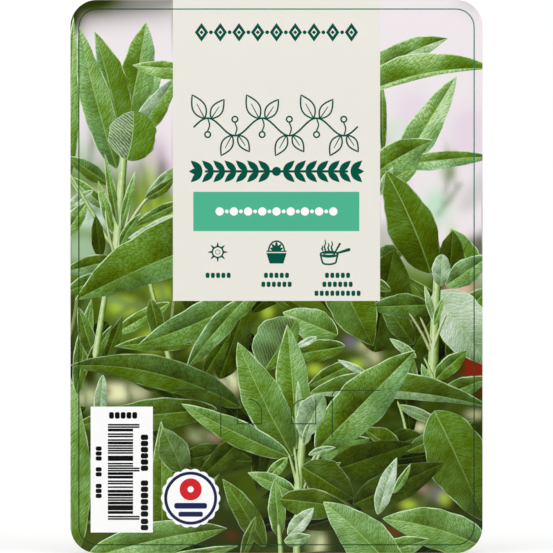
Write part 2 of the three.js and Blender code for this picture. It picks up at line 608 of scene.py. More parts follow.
# The white box with its bars, drawn at random, and its beads
def codeBox():
    width = code["right"] - code["left"]
    height = code["top"] - code["foot"]
    plate = addFlat("plate", code["left"] + width / 2, code["foot"] + height / 2, width, height, 1, 0.12)
    finishMark("code_box", [plate], whiteInk)

    # bars and gaps by turns, with a pair of longer bars at both ends and in the middle
    dice = random.Random(code["seed"])
    n = code["group"]

    def group(first):
        return [dice.choice(code["bars" if (i + first) % 2 else "gaps"]) for i in range(n)]

    runs = [1, 1, 1, *group(0), 1, 1, 1, 1, 1, *group(1), 1, 1, 1]
    pitch = (code["barsTop"] - code["barsFoot"]) / sum(runs)
    guards = (0, 2, n + 4, n + 6, 2 * n + 8, 2 * n + 10)
    parts = []
    z = code["barsFoot"]
    for i, run in enumerate(runs):
        if i % 2 == 0:
            wide = (code["guardsRight"] if i in guards else code["barsRight"]) - code["barsLeft"]
            middle = (code["barsLeft"] + wide / 2, z + run * pitch / 2)
            parts.append(addFlat("plate", *middle, wide, run * pitch + code["spread"]))
        z += run * pitch
    finishMark("code_bars", parts, blackInk)

    rows = [beadRow(*code["levelRow"])]
    rows += [beadRow(*row, upright=True) for row in code["uprightRows"]]
    finishMark("code_beads", rows, blackInk)


seal = {"x": -22.5, "z": -28.3, "radius": 7.8, "scallops": 18, "depth": 0.45, "ring": 0.8, "ringInset": 0.85,
        "bars": ((-2.0, 8.6, 1.5, 0.6), (-4.2, 6.4, 1.3, 0.5)),  # height, width, thickness and corner
        "discHeight": 2.3, "disc": 5.8, "heart": 1.6}


# A plain scalloped seal: white, ringed in navy, with a red disc over two bars
def roundSeal():
    x, z = seal["x"], seal["z"]
    turn = np.linspace(0, 2 * math.pi, seal["scallops"] * 8, endpoint=False)
    reach = seal["radius"] - seal["depth"] + seal["depth"] * np.abs(np.cos(turn * seal["scallops"] / 2))
    ring = np.stack([x + reach * np.cos(turn), z + reach * np.sin(turn)], 1)
    finishMark("seal_plate", [inkMesh(ring, [list(range(len(ring)))])], whiteInk)
    addFlat("disc", x, z, 2 * (seal["radius"] - seal["ringInset"]), layer=3, points=64)
    rim = hollow(seal["ring"])
    bars = [addFlat("plate", x, z + height, width, thick, 3, corner)
            for height, width, thick, corner in seal["bars"]]
    finishMark("seal_ring", [rim, *bars], solidInk("navy ink", ink(30, 38, 86)))
    middle = (x, z + seal["discHeight"])
    disc = addFlat("disc", *middle, seal["disc"], layer=3, points=48)
    finishMark("seal_disc", [disc], solidInk("red ink", ink(214, 38, 46)))
    finishMark("seal_heart", [addFlat("disc", *middle, seal["heart"], layer=4, points=24)], whiteInk)


# How far in from the card's edges, and how strong the ink is over each ground
trim = {"inset": 2.04, "topInset": 2.24, "line": 0.32, "corner": 4.9, "skyFrom": 42, "skyFull": 48,
        "overPanel": 0.86, "overSky": 0.75, "overLeaves": 0.66}


# A thin ink that darkens what it lies over: light green on the panel, teal on the sky, deep green on leaves
def trimInk():
    s = Shader("trim ink", **varnish)
    place = s.place()
    x = s.axis(place, 0) * (1 / mm)
    z = s.axis(place, 2) * (1 / mm)
    half = panel["width"] / 2
    onPanel = 1 - (x - panel["middle"]).size().step(half - 0.05, half + 0.05)
    onPanel = onPanel * z.step(panel["foot"] - 0.1, panel["foot"])
    onSky = x.step(half, half + 1) * z.step(trim["skyFrom"], trim["skyFull"])
    worn = (s.noise(place, 900, 2.0) - 0.5) * 0.2
    overGround = s.mix(onSky, ink(24, 84, 30), ink(43, 137, 115))
    s.feed("Base Color", s.mix(onPanel, overGround, ink(30, 152, 104)))
    least = trim["overLeaves"]
    stronger = onPanel * (trim["overPanel"] - least) + onSky * (trim["overSky"] - least)
    s.feed("Alpha", (stronger + least + worn).least(1))
    return s.material


# The fine line a little inside the card's edge
def trimLine():
    width = card["right"] - card["left"] - 2 * trim["inset"]
    foot, top = card["foot"] + trim["inset"], card["top"] - trim["topInset"]
    addFlat("plate", 0, (foot + top) / 2, width, top - foot, 4, trim["corner"])
    finishMark("trim_line", [hollow(trim["line"])], trimInk())


cutInside = 0.04  # how far the faces of a cut keep within the card's front and back, in mm


# The two faces of each die cut touch, so the cut shows as no more than a fine dark line: a thin solid fills
# each cut, and its dark green is painted shade, the shade that lies in the crack
def cutFaces():
    parts = []
    front, back = card["front"] + cutInside, card["back"] - cutInside
    for loop in dieCuts:
        loop = loop if areaOf(loop) > 0 else loop[::-1]
        count = len(loop)
        spots = [(x * mm, y * mm, z * mm) for y in (front, back) for x, z in loop]
        walls = [[i, i + count, (i + 1) % count + count, (i + 1) % count] for i in range(count)]
        mesh = bpy.data.meshes.new("cut")
        mesh.from_pydata(spots, [], [list(range(count)), list(range(2 * count - 1, count - 1, -1)), *walls])
        piece = bpy.data.objects.new("cut", mesh)
        bpy.context.scene.collection.objects.link(piece)
        parts.append(piece)
    # The fill's dark green is painted shade: the shade in the closed cut, not the plastic's own colour
    finishMark("cut_faces", parts, solidInk("cut crack shade", ink(34, 72, 44)), flat=False)


# Where the painted shade of the pressed fold lies, how wide it is and how strongly it darkens
shadedFold = {"height": -5.8, "start": 14.9, "end": 22.1, "line": 0.2, "strength": 0.4}


# A faint pressed line beside the right cut, where the flap bends, drawn as a thin dark line of painted shade
def paintedFoldShade():
    ends = [(shadedFold["start"], shadedFold["height"]), (shadedFold["end"], shadedFold["height"])]
    line = drawn(ends, shadedFold["line"], layer=3)
    finishMark("fold_shade_line", [line], solidInk("fold shade", ink(30, 56, 20), alpha=shadedFold["strength"]))


for make in (infoPanel, topFrieze, thinVine, boldGarland, bandBeads, sunSign, potSign, panSign, captionRows,
             codeBox, roundSeal, trimLine, cutFaces, paintedFoldShade):
    make()
    print("printed:", make.__name__)

picture = {
    "seed": 11,
    "light": (-0.38, 0.58, 0.72),  # towards the lamp: right, up, out of the card
    "grid": 0.5,  # cells of the soft backdrop, in mm
    "lattice": 0.85,  # loose points between the leaves, in mm
    "upward": 0.08,  # how much brighter the upper leaves are than the lower ones
    "upwardFrom": 10,  # the height where that starts, and over how many mm it grows
    "upwardOver": 50,
    "firstLift": 0.25,  # how near the rearmost leaf lies, where 1 is the nearest
    "softness": 0.5,  # how far the backdrop is out of focus, in mm
    "darkBelow": 0.16,  # the backdrop's blue fades out where it is darker than this
    "haze": 0.21,  # how strongly thrown leaves show before the sky
    "hazeFrom": 30,  # the height above which leaves stand before it
    "underShade": 0.12,  # how much the sprigs shade what lies far behind them
    "underLift": 0.12,  # how near that lies
    "shadeGain": 3.2,  # how fast a leaf's shade deepens with its height over what it shades
    "shadeMost": 0.55,
    "gain": 1.14,  # how strong the light on the leaves is printed
}
random.seed(picture["seed"])
lamp = np.array(picture["light"]) / np.linalg.norm(picture["light"])

leafInk = {
    "rimShade": ink(70, 104, 30),
    "rimLight": ink(218, 244, 192),
    "ribShade": ink(60, 92, 10),
    "ribLight": ink(176, 214, 130),
}

# The greens of the upper face, the felt's cool sheen on it, and the pale lower face, from shade to light
leafGreens = [(0.0, ink(10, 15, 0)), (0.14, ink(36, 47, 0)), (0.28, ink(56, 73, 0)),
              (0.42, ink(76, 100, 6)), (0.56, ink(91, 126, 28)), (0.7, ink(111, 151, 58)),
              (0.85, ink(148, 186, 105)), (1.0, ink(194, 219, 158))]
leafSheens = [(0.0, ink(24, 36, 8)), (0.2, ink(54, 79, 34)), (0.4, ink(81, 119, 66)),
              (0.6, ink(114, 159, 101)), (0.8, ink(158, 200, 145)), (1.0, ink(212, 233, 200))]
leafPales = [(0.0, ink(44, 58, 30)), (0.2, ink(84, 110, 72)), (0.4, ink(128, 156, 118)),
             (0.6, ink(170, 194, 162)), (0.8, ink(208, 222, 202)), (1.0, ink(238, 242, 234))]

# The stems, and the rosy ink that a young one has instead
stemGreens = [(0.0, ink(34, 48, 8)), (0.25, ink(84, 112, 40)), (0.5, ink(140, 170, 92)),
              (0.75, ink(188, 212, 146)), (1.0, ink(230, 242, 204))]
stemRoses = [(0.0, ink(54, 34, 20)), (0.5, ink(150, 122, 96)), (1.0, ink(232, 214, 196))]


# The colour of a list of stops at many places at once
def colourAt(stops, places):
    at = [place for place, colour in stops]
    return np.stack([np.interp(places, at, [colour[i] for place, colour in stops]) for i in range(3)], -1)


# Soft tints that show between the sprigs
softTints = {
    "depth": ink(41, 53, 0),
    "moss": ink(69, 88, 0),
    "meadow": ink(105, 139, 44),
    "sky": ink(241, 233, 236),
    "duskAndCornerShade": ink(112, 114, 104),
    "lavender": ink(222, 192, 222),
    "lime": ink(178, 208, 66),
    "mint": ink(203, 230, 206),
    "cream": ink(240, 243, 190),
    "rose": ink(230, 184, 168),
    "maroon": ink(136, 34, 26),
    "slate": ink(118, 112, 124),
}

# Where they lie: tint, x, height, half width, half height and strength
softPatches = [
    # The weak dusk patch at the top right corner is painted shade, the shade at the card's corner; the strong
    # one along the top is a dark blurred leaf
    ("duskAndCornerShade", -38, 104.5, 18, 6.0, 0.8), ("duskAndCornerShade", 53, 104, 5, 4, 0.3),
    ("depth", -50, 103.5, 9.5, 5.0, 1.0), ("depth", -54.5, 100, 3.6, 7, 1.0),
    ("lavender", -47, 68, 2.4, 5, 0.9), ("mint", -51, 63, 4, 5, 0.35), ("lavender", -33, 62, 3, 4, 0.8),
    ("lavender", -28, 57, 2, 3, 0.8), ("moss", -36.5, 51, 1.3, 9, 0.35), ("lime", -33.5, 51, 2, 9, 0.6),
    ("moss", -30, 54, 1.3, 7, 0.7), ("mint", -49, 46.5, 7, 3.6, 1.0), ("rose", -47, 51.5, 5, 1.3, 0.5),
    ("lime", -29, 46, 3, 4, 0.5), ("lavender", -44, 77, 2, 5, 0.5), ("mint", -51, 37, 4.6, 3, 0.5),
    ("meadow", 45, 58, 1.6, 3, 0.6), ("lavender", 51, 67, 5, 6, 0.4), ("mint", 42, 48, 3, 4, 1.0),
    ("lime", 46, 40, 1.2, 3, 0.5), ("lavender", 36, 73, 4, 5, 0.3), ("mint", 31, 68, 3, 3, 0.5),
    ("rose", 48, 26, 3, 2.4, 0.9), ("lime", -40, 22, 3.6, 2.2, 1.0), ("lime", -30, 25.6, 2.6, 2, 0.7),
    ("lime", -32.5, 13, 3, 2.4, 0.9), ("moss", -5, 21, 3, 2, 0.8), ("lime", -2.4, 20.6, 1.2, 1.6, 0.9),
    ("cream", -42, -0.6, 4.6, 2, 1.0), ("maroon", -44.6, -0.4, 1.1, 1, 0.8),
    ("cream", -50, -2, 2.2, 1.8, 0.8), ("cream", -35.5, -0.8, 1.8, 1.6, 0.4),
    ("cream", -12.6, 2, 2.2, 2.6, 1.0), ("lime", -18.4, 11, 3, 2, 1.0),
    ("rose", -11, 7.6, 1.6, 1.8, 0.8), ("cream", -20, -12, 2.6, 1.3, 0.4),
    ("rose", -16.6, -12.8, 2, 1.1, 0.35), ("moss", -7, -25, 3, 3, 0.9),
    ("maroon", -12, -38, 1.6, 1.2, 0.25), ("lime", 10, 5.4, 1.8, 1.3, 0.9),
    ("slate", 19.6, 12.6, 1.8, 1.6, 0.9), ("cream", 22.4, 11.4, 1.2, 1.0, 0.8),
    ("maroon", 25, 11.4, 1.6, 0.9, 0.9), ("cream", 25, 8.6, 1.8, 1.8, 0.6),
    ("lime", 21, 6.6, 1.6, 1.2, 0.9), ("maroon", 52.5, 6, 3, 4.4, 1.0),
    ("cream", 37.6, -9.8, 1.3, 0.9, 0.9), ("cream", 52, -6.4, 2, 1, 0.5),
    ("rose", 38.6, -25.8, 1.6, 1.1, 0.4), ("slate", 41.8, -27, 2, 1.8, 1.0),
    ("lime", 44, -28.4, 1.3, 1.6, 0.8), ("lime", 34.6, -30, 1.8, 1.0, 1.0),
    ("maroon", 29.6, -37.2, 2.0, 0.8, 0.6), ("cream", 10.6, -40, 1.8, 2.4, 0.9),
    ("moss", -48, -39, 4, 2.4, 0.8), ("rose", 4.6, -24.6, 1.3, 1.0, 0.5),
]


# One leaf, stalk or bud: a bent middle line from foot to tip, with a half on its left and one on its right.
# In degrees: bend is how far that line turns, fold how far each half leans, rise and droop the slopes at foot
# and tip. As shares: how wide each half is, how bright the leaf is (tone), how strong the sheen of its felt
# is (cool), how much of its pale lower face shows (pale), and how far its veins and midrib stand out.
class Leaf:
    def __init__(self, foot, tip, width, bend=0, kind="leaf", form="long", share=(1, 1), tone=0.5,
                 cool=(0.2, 0.2), pale=(0, 0), veined=(0, 0), rib=0.3, fold=(19, 19), rise=18, droop=-22,
                 steps=40):
        self.kind, self.form, self.tone, self.rib = kind, form, tone, rib
        self.seed = random.random()
        self.crisp = min(1, max(0.12, 0.2 + 1.7 * tone))  # leaves in the dark lie deeper, so out of focus
        self.rise, self.droop = rise, droop
        reach = np.subtract(tip, foot)
        self.length = float(np.hypot(*reach))
        self.u = (1 - np.cos(np.linspace(0, math.pi, steps + 1))) / 2
        turn = math.atan2(reach[1], reach[0]) + np.radians(bend * (self.u - 0.5))
        self.along = np.stack([np.cos(turn), np.sin(turn)], 1)
        self.side = np.stack([-self.along[:, 1], self.along[:, 0]], 1)
        stride = np.diff(self.u)[:, None] * self.length * (self.along[1:] + self.along[:-1]) / 2
        self.middle = np.array(foot) + np.concatenate([[(0, 0)], np.cumsum(stride, 0)])
        full = width / 2 * self.profile()
        self.half = {1: full * share[0], -1: full * share[1]}
        self.lean = {1: math.radians(fold[0]), -1: math.radians(fold[1])}
        self.cool, self.pale, self.veined = ({1: left, -1: right} for left, right in (cool, pale, veined))

    # The share of the full half width at each step along the middle line
    def profile(self):
        u = self.u
        if self.kind == "stem":
            return (1 - 0.35 * u) * np.minimum(1, 12 * u + 0.1) * np.minimum(1, 14 * (1 - u))
        forms = {"long": (0.68, 0.92, 0.3373), "round": (0.5, 0.5, 0.5), "blunt": (0.62, 0.56, 0.4422)}
        low, high, peak = forms[self.form]
        wave = 1 + 0.036 * np.sin(15 * u + 9 * self.seed) + 0.016 * np.sin(37 * u + 40 * self.seed)
        return u**low * (1 - u)**high / peak * wave

    def margin(self, side, share=1.0):
        return self.middle + self.side * (side * share * self.half[side])[:, None]

    # How far along (0 to 1) and how far to the left (mm) of the middle line points lie
    def locate(self, points):
        start, run = self.middle[:-1], np.diff(self.middle, axis=0)
        away = points[:, None] - start[None]
        t = np.clip((away * run).sum(2) / (run**2).sum(1), 0, 1)
        gap = away - t[..., None] * run
        near = np.argmin((gap**2).sum(2), 1)
        pick = np.arange(len(points))
        t, gap, way = t[pick, near], gap[pick, near], run[near]
        u = self.u[near] + t * (self.u[near + 1] - self.u[near])
        left = np.sign(way[:, 0] * gap[:, 1] - way[:, 1] * gap[:, 0])
        return u, left * np.hypot(*gap.T)

    # The light on the leaf at these places, the sheen of its felt, its half's width and the way to the lamp
    def lit(self, u, across, side):
        along = np.stack([np.interp(u, self.u, self.along[:, i]) for i in (0, 1)], 1)
        left = np.stack([-along[:, 1], along[:, 0]], 1)
        half = np.interp(u, self.u, self.half[side])
        v = np.clip(np.abs(across) / np.maximum(half, 0.01), 0, 1)
        if self.kind == "stem":
            climb = np.full_like(u, 0.05)
            lean = -side * v / np.sqrt(1.05 - v**2)
        else:
            wave = 0.16 * np.sin(9 * u + 30 * self.seed) * v
            climb = np.tan(np.radians(self.rise + (self.droop - self.rise) * u)) + wave
            lean = side * (math.tan(self.lean[side]) * (1 - 0.55 * v) - 0.28 * v)
            lean = lean + 0.14 * np.sin(13 * u + 20 * self.seed + side)
        facing = np.stack([-climb * along[:, i] - lean * left[:, i] for i in (0, 1)] + [np.ones_like(u)], 1)
        facing /= np.linalg.norm(facing, axis=1)[:, None]
        toLamp = np.stack([along @ lamp[:2], left @ lamp[:2]], 1)
        light = np.clip(facing @ lamp, 0, 1) * (0.31 + 0.83 * self.tone)
        streak = 0.8 + 0.3 * np.sin(7 * u + 50 * self.seed) + 0.15 * np.sin(4 * across + 30 * self.seed)
        sheen = np.clip(self.cool[side] * (0.45 + 0.7 * v) * streak, 0, 1)
        sheen *= 0.4 + 0.6 * min(1, 2.5 * self.tone)
        return light, sheen, half, toLamp


# Leaves deep in the plant, a little out of focus, from the back to the front
def deepLeaves():
    rows = []

    def leaf(foot, tip, width, **held):
        rows.append(Leaf(foot, tip, width, **held))

    leaf((-52, 8), (-38, 36), 10, tone=0.3)
    leaf((-26, 24), (-52, 10), 8, tone=0.35, bend=-12)
    leaf((-16, 10), (-40, -4), 9, tone=0.1, bend=10)
    leaf((-2, 22), (-22, -4), 8, tone=0.25)
    leaf((-22, 6), (-6, -24), 15, tone=0.0)
    leaf((-30, -4), (-20, -34), 13, tone=0.08)
    leaf((-44, 2), (-46, -30), 10, tone=0.15)
    leaf((20, 18), (-4, 8), 8, tone=0.2)
    leaf((30, 22), (20, -4), 13, tone=0.05)
    leaf((12, 6), (46, 12), 9, tone=0.2, bend=-14)
    leaf((18, -6), (48, -24), 14, tone=0.05)
    leaf((38, -10), (14, -26), 12, tone=0.1, bend=12)
    leaf((50, 4), (34, -22), 12, tone=0.1)
    leaf((8, -22), (40, -30), 12, tone=0.05)
    leaf((-6, -20), (-30, -28), 10, tone=0.1)
    leaf((-14, -30), (16, -22), 9, tone=0.15)
    leaf((50, -24), (22, -32), 10, tone=0.12)
    leaf((28, -44), (38, -20), 8, tone=0.1)
    leaf((-6, -44), (14, -34), 9, tone=0.08)
    leaf((-50, -44), (-28, -32), 10, tone=0.1)
    leaf((24, 34), (38, 6), 12, tone=0.05)
    return rows


# Stalks and slips of leaf that cross the pale patches, just as far out of focus
def hazyStalks():
    rows = []

    def stalk(foot, tip, width, tone):
        rows.append(Leaf(foot, tip, width, tone=tone, cool=(0.3, 0.3)))

    stalk((-46.4, 6), (-45.6, -7), 2.4, 0.4)
    stalk((-39.6, 3), (-37.4, -6), 1.5, 0.2)
    stalk((-50.8, 3), (-49.6, -7), 1.6, 0.5)
    stalk((-47, 25), (-32, 20.4), 1.7, 0.5)
    stalk((-44, 18), (-34, 25), 1.3, 0.3)
    stalk((-31.4, 31), (-28.2, 19), 1.6, 0.3)
    stalk((-54, 49.4), (-41, 45), 1.6, 0.4)
    stalk((-50, 44), (-45, 50), 1.2, 0.2)
    stalk((-15.4, 7), (-11, -2), 1.4, 0.3)
    stalk((7.4, -45), (12.8, -33), 1.8, 0.4)
    stalk((-24, -9.6), (-15, -14.4), 1.3, 0.35)
    stalk((-18.4, -8), (-19.6, -17), 1.1, 0.2)
    stalk((35.6, -35), (43.4, -21), 1.4, 0.3)
    stalk((30, -27), (47, -31.4), 1.1, 0.1)
    stalk((20, 13), (27.6, 4), 1.2, 0.3)
    stalk((-35.4, 61), (-32.2, 41), 1.7, 0.3)
    stalk((-49.4, 58), (-46.2, 76), 1.6, 0.5)
    stalk((47, 63), (43.4, 49), 1.3, 0.4)
    stalk((49, 55), (41.6, 45), 1.5, 0.3)
    stalk((44, 66), (47.4, 52), 0.9, 0.6)
    return rows


# The sprigs in focus, from the back to the front: foot, tip and width in mm, then how each leaf is held.
# Of each pair of values the first is for the half on the left as one looks from foot to tip.
def sprigLeaves():
    rows = []

    def leaf(foot, tip, width, **held):
        rows.append(Leaf(foot, tip, width, steps=60, **held))

    def stem(foot, tip, width, **held):
        rows.append(Leaf(foot, tip, width, kind="stem", **held))

    # upper left sprig
    leaf((-54.6, 54), (-53.2, 98), 4.6, tone=0.6, cool=(0.1, 0.0))
    leaf((-38.6, 69), (-30.0, 86), 6.0, tone=0.6, cool=(0.7, 0.6))
    leaf((-39.2, 70), (-34.2, 96.6), 9.4, tone=0.52, cool=(0.05, 0.6), bend=5)
    stem((-42.4, 30), (-39.6, 67), 2.7)
    leaf((-41.0, 67), (-47.8, 94.0), 8.2, tone=0.42, cool=(1.0, 0.0), share=(0.55, 1.2), bend=8)
    leaf((-41.9, 58), (-51.7, 95.2), 8.4, tone=0.55, cool=(0.75, 0.25), share=(1.0, 0.95), bend=-7)
    leaf((-38.2, 65), (-26.0, 82.5), 8.4, tone=0.5, pale=(0.85, 0), cool=(0.4, 0), share=(0.7, 0.8))
    leaf((-21.5, 83.8), (-37.8, 85.2), 5.0, tone=0.66, cool=(0, 0), share=(1.15, 0.75))
    leaf((-39.4, 60.4), (-37.6, 73.2), 12.6, form="round", tone=0.3, cool=(0.5, 0), veined=(1, 0), rib=1,
         bend=24, fold=(22, 24), rise=-6, droop=-30)

    # along its stalk
    leaf((-43.8, 54), (-55, 61.5), 4.4, tone=0.3, cool=(0.2, 0.6))
    leaf((-44.4, 47.5), (-55, 56.5), 3.6, tone=0.5, pale=(0.35, 0))
    leaf((-55, 47.5), (-48.0, 52.5), 3.2, tone=0.6, pale=(0.8, 0.6))
    leaf((-56, 40), (-49.6, 49.6), 4.6, tone=0.56, cool=(0.5, 0.3))
    stem((-43.4, 38), (-54.6, 57.6), 1.15)
    leaf((-42.9, 41), (-46.8, 55), 2.8, tone=0.6, cool=(0.3, 0.1))
    leaf((-41.6, 43), (-45.0, 62), 2.4, tone=0.45, cool=(0.1, 0.5))
    leaf((-34.6, 49.4), (-24, 60), 3.8, tone=0.5, pale=(0.6, 0.2), share=(0.7, 1.2), bend=-20)
    leaf((-34.4, 50.4), (-26.5, 56), 3.0, tone=0.25, cool=(0.4, 0.2), bend=26)
    stem((-40.4, 38), (-33.6, 50.6), 1.2, bend=-30, pale=(0.7, 0.7))
    leaf((-24, 49.5), (-38, 42.6), 3.0, tone=0.35, cool=(0.3, 0.5), bend=14)
    leaf((-46.2, 34.4), (-47.4, 46.0), 3.6, tone=0.02)
    stem((-42.6, 36), (-44.8, 47.5), 0.8, pale=(0.4, 0.4), bend=-16)
    stem((-41.8, 36), (-38.4, 48.5), 0.9, pale=(0.5, 0.5), bend=16)
    leaf((-40.9, 42.5), (-37.0, 57.5), 2.3, tone=0.55, cool=(0.6, 0.2))
    leaf((-41.2, 37.5), (-35.4, 46.5), 2.6, tone=0.4, cool=(0.5, 0.3), bend=-20)
    leaf((-22, 46.5), (-39.0, 39.8), 5.6, tone=0.62, pale=(0.9, 1), share=(1.0, 0.7), bend=-6)
    leaf((-42.0, 34.2), (-56, 31.0), 5.2, tone=0.32, cool=(0.8, 0.1), pale=(0.25, 0))
    leaf((-44, 30), (-56, 25.4), 5.0, tone=0.35, cool=(0.3, 0.5))

    # below the panel's left corner
    leaf((-52.5, -1), (-48.5, 24), 4.6, tone=0.4, cool=(0.5, 0.1))
    leaf((-47.5, 7), (-52.0, 22), 4.2, tone=0.3, cool=(0.2, 0.5))
    stem((-27.4, 5), (-33.6, 30), 1.5)
    leaf((-28, 23), (-44.5, 13.6), 4.2, tone=0.62, cool=(0, 0.1))
    leaf((-33, 24), (-29.6, 9.6), 4.4, tone=0.2)
    leaf((-45.4, 6), (-40.4, 19.6), 3.8, tone=0.12)
    leaf((-50.2, 5), (-43.2, 17), 3.2, tone=0.3, cool=(0.2, 0.4))
    stem((-47.6, 7.6), (-44.0, 31), 1.9)
    leaf((-8.0, 42.5), (-52.8, 23.6), 15.0, tone=0.46, cool=(0.55, 0.04), share=(0.72, 1.24), bend=9,
         fold=(6, 16))
    leaf((-22, 12), (-42.5, 11.4), 4.4, tone=0.36, cool=(0.1, 0.1), bend=14)
    leaf((-15, 3), (-7.4, 24), 9.0, tone=0.04)
    leaf((-19, 4), (-12.0, 15), 4.4, tone=0.12)
    leaf((-4.6, 25.6), (-36.2, 12.0), 9.6, tone=0.42, cool=(0.25, 0.55), bend=-12)
    leaf((-7.4, 24.6), (-23.8, 5.4), 6.0, tone=0.46, cool=(0.5, 0.7), bend=10)
    leaf((-9.2, -4.6), (-55.0, 6.6), 9.4, tone=0.22, cool=(0.2, 0.62), share=(0.85, 1.0), bend=34)
    leaf((-15.6, -5.0), (-54, -9.5), 8.4, tone=0.28, cool=(0.3, 0.3), bend=6)
    leaf((-53.6, -44), (-55.2, 6), 11.5, tone=0.58, cool=(0.5, 0.2))
    leaf((-45.5, 4), (-47.0, -12), 3.4, tone=0.5, pale=(0.9, 0.7))
    leaf((-30.0, -42), (-30.2, -8), 6.0, tone=0.42, cool=(0.05, 0.15))
    leaf((-24.4, -21.6), (-29.8, -9.8), 8.0, tone=0.3, pale=(0.15, 0.3))
    leaf((-6.4, -18.6), (-19.4, -18.0), 5.4, tone=0.04)
    leaf((-8, -12), (-21, -24), 6.0, tone=0.06)

    # right side, from the top
    leaf((22, 80), (45.2, 92.4), 8.0, tone=0.7, cool=(0.25, 0.7), pale=(0, 0.4), share=(1.0, 0.8), bend=-24)
    leaf((27.6, 80), (27.9, 60), 2.4, tone=0.34)
    leaf((30.5, 55), (47.2, 82.4), 8.4, tone=0.76, cool=(0.45, 0.8))
    leaf((31.5, 58.6), (57, 61.2), 4.8, tone=0.6, cool=(0.1, 0.8), bend=-10)
    leaf((18.5, 75.6), (57.5, 84.4), 8.6, tone=0.74, cool=(0.02, 0), share=(1.32, 0.28), pale=(0, 0.1),
         bend=-32, droop=-8)
    leaf((24.5, 60), (34.5, 50), 6.0, tone=0.2, cool=(0.3, 0.3))
    leaf((27.5, 52), (38.4, 63), 6.2, tone=0.55, cool=(0.6, 0.3))
    leaf((23.0, 54.5), (41.0, 65.6), 8.6, tone=0.5, cool=(0.1, 0.5), share=(1.05, 0.95), bend=-16)
    leaf((26.8, 51.0), (30.6, 58.6), 2.8, tone=0.5, pale=(0.7, 0.7))

    # the dark leaves beside the panel's right corner
    leaf((52, 30), (45.6, 42.4), 7.4, tone=0.45, cool=(0.4, 0.3))
    leaf((45.4, 29.6), (46.2, 41.8), 7.0, tone=0.04, cool=(0, 0.4))
    stem((40.6, -1.6), (42.4, 33), 3.0)
    leaf((44.4, 27.4), (56, 35.4), 6.6, tone=0.5, cool=(0.6, 0.5), pale=(0.2, 0.1))
    leaf((22, 33), (35, 37.6), 5.4, tone=0.3, cool=(0.5, 0.3))
    leaf((25.6, 10), (30.8, 37), 16.0, tone=0.03, cool=(0, 0.35))
    leaf((40.4, 30.6), (28.6, 57.6), 12.8, tone=0.28, cool=(0.04, 0.0), bend=12, share=(1.04, 0.9), rib=0.7)
    leaf((30, 26), (22.5, 30), 3.0, tone=0.32, cool=(0.4, 0.2))
    leaf((47, 18), (56, 27), 6.4, tone=0.4, cool=(0.6, 0.4))
    leaf((45, 8), (52.5, 18.5), 7.0, tone=0.14)
    leaf((34, 8), (44, 24), 9.0, tone=0.06)
    leaf((36.0, 12), (27.0, 24.6), 6.0, tone=0.2, cool=(0.5, 0.3))
    leaf((39.8, 22.4), (24.6, 21.8), 6.4, tone=0.28, cool=(0.6, 0.5))
    leaf((41.2, 25.6), (56.2, 6.2), 14.5, tone=0.7, pale=(0.8, 0.9), cool=(0.9, 0.9), share=(1.1, 0.8))
    stem((40.6, -1.4), (42.3, 32.4), 2.9)
    stem((40.4, 10), (34.6, 20.4), 0.9, pale=(0.6, 0.6), bend=14)
    stem((40.6, 12), (37.6, 19.2), 0.8, pale=(0.7, 0.7), bend=10)
    stem((41.2, 11), (44.6, 20.0), 0.9, pale=(0.5, 0.5), bend=-12)
    stem((41.8, 1), (38.6, 8.6), 0.9, bend=10)
    leaf((42.9, 27.2), (43.4, 35.6), 4.8, form="blunt", tone=0.5, pale=(0.9, 0.7), cool=(0.5, 0.5))
    leaf((36.6, 8.6), (29.6, 13.6), 2.6, tone=0.55, pale=(0.6, 0.3))
    leaf((36.6, 2), (33.4, 12), 2.8, tone=0.4, cool=(0.6, 0.5))
    leaf((41.4, 18), (38.8, 27.4), 2.0, tone=0.6, pale=(0.3, 0.3))
    leaf((41.2, 17), (43.8, 24.6), 2.0, tone=0.6, cool=(0.4, 0.4))
    leaf((41.6, 2.8), (50.2, 10.4), 4.8, tone=0.42, cool=(0.4, 0.1), bend=-10)
    leaf((40.8, -1), (38.0, 7.0), 2.6, tone=0.5, cool=(0.6, 0.6))
    leaf((42, -2), (56, 3.4), 5.4, tone=0.36, cool=(0.5, 0.7))
    leaf((16, 14.4), (1.6, 20.4), 8.6, tone=0.64, cool=(0.5, 0.5))
    leaf((15.0, 33), (25.4, 11.6), 12.4, tone=0.43, cool=(0.0, 0.3), bend=6)
    leaf((18, 11.6), (2, 8.8), 5.6, tone=0.4, cool=(0.1, 0.2))
    leaf((10.6, 14.0), (4.6, 11.0), 2.0, tone=0.8, pale=(1, 1))
    leaf((20, 7), (8, 1), 4.6, tone=0.34)
    leaf((24, 4), (16, 8), 2.0, tone=0.6, pale=(1, 1))

    # right of the middle
    leaf((8.8, -1.0), (56.4, -4.6), 8.2, tone=0.42, cool=(0.3, 0.2), share=(1.25, 0.5), pale=(0, 0.5),
         bend=-24)
    leaf((32, -4), (45, -9.6), 3.0, tone=0.4, pale=(0.6, 0.4))
    stem((34.4, -15.2), (31.6, -2.6), 0.9, bend=20)
    leaf((38, -12), (26, -16), 7.0, tone=0.05)
    leaf((34, -16), (52, -8), 5.0, tone=0.25, cool=(0.5, 0.1))
    leaf((41.4, -5.4), (54.6, -34.6), 16.5, tone=0.34, cool=(0.1, 0.2), share=(1.0, 0.95), bend=-4)
    leaf((32.4, -15), (22.6, -9.6), 5.6, tone=0.28, cool=(0.1, 0.1), share=(0.5, 1.2), bend=-30)
    leaf((10.5, -15.4), (24.4, -12.6), 12.0, tone=0.42, cool=(0.2, 0.5), share=(0.3, 1.25), bend=-10)
    leaf((12, -22), (36, -14), 9.0, tone=0.03, cool=(0.0, 0.0))
    leaf((20, -30), (44, -19), 9.0, tone=0.05, cool=(0.25, 0.0))

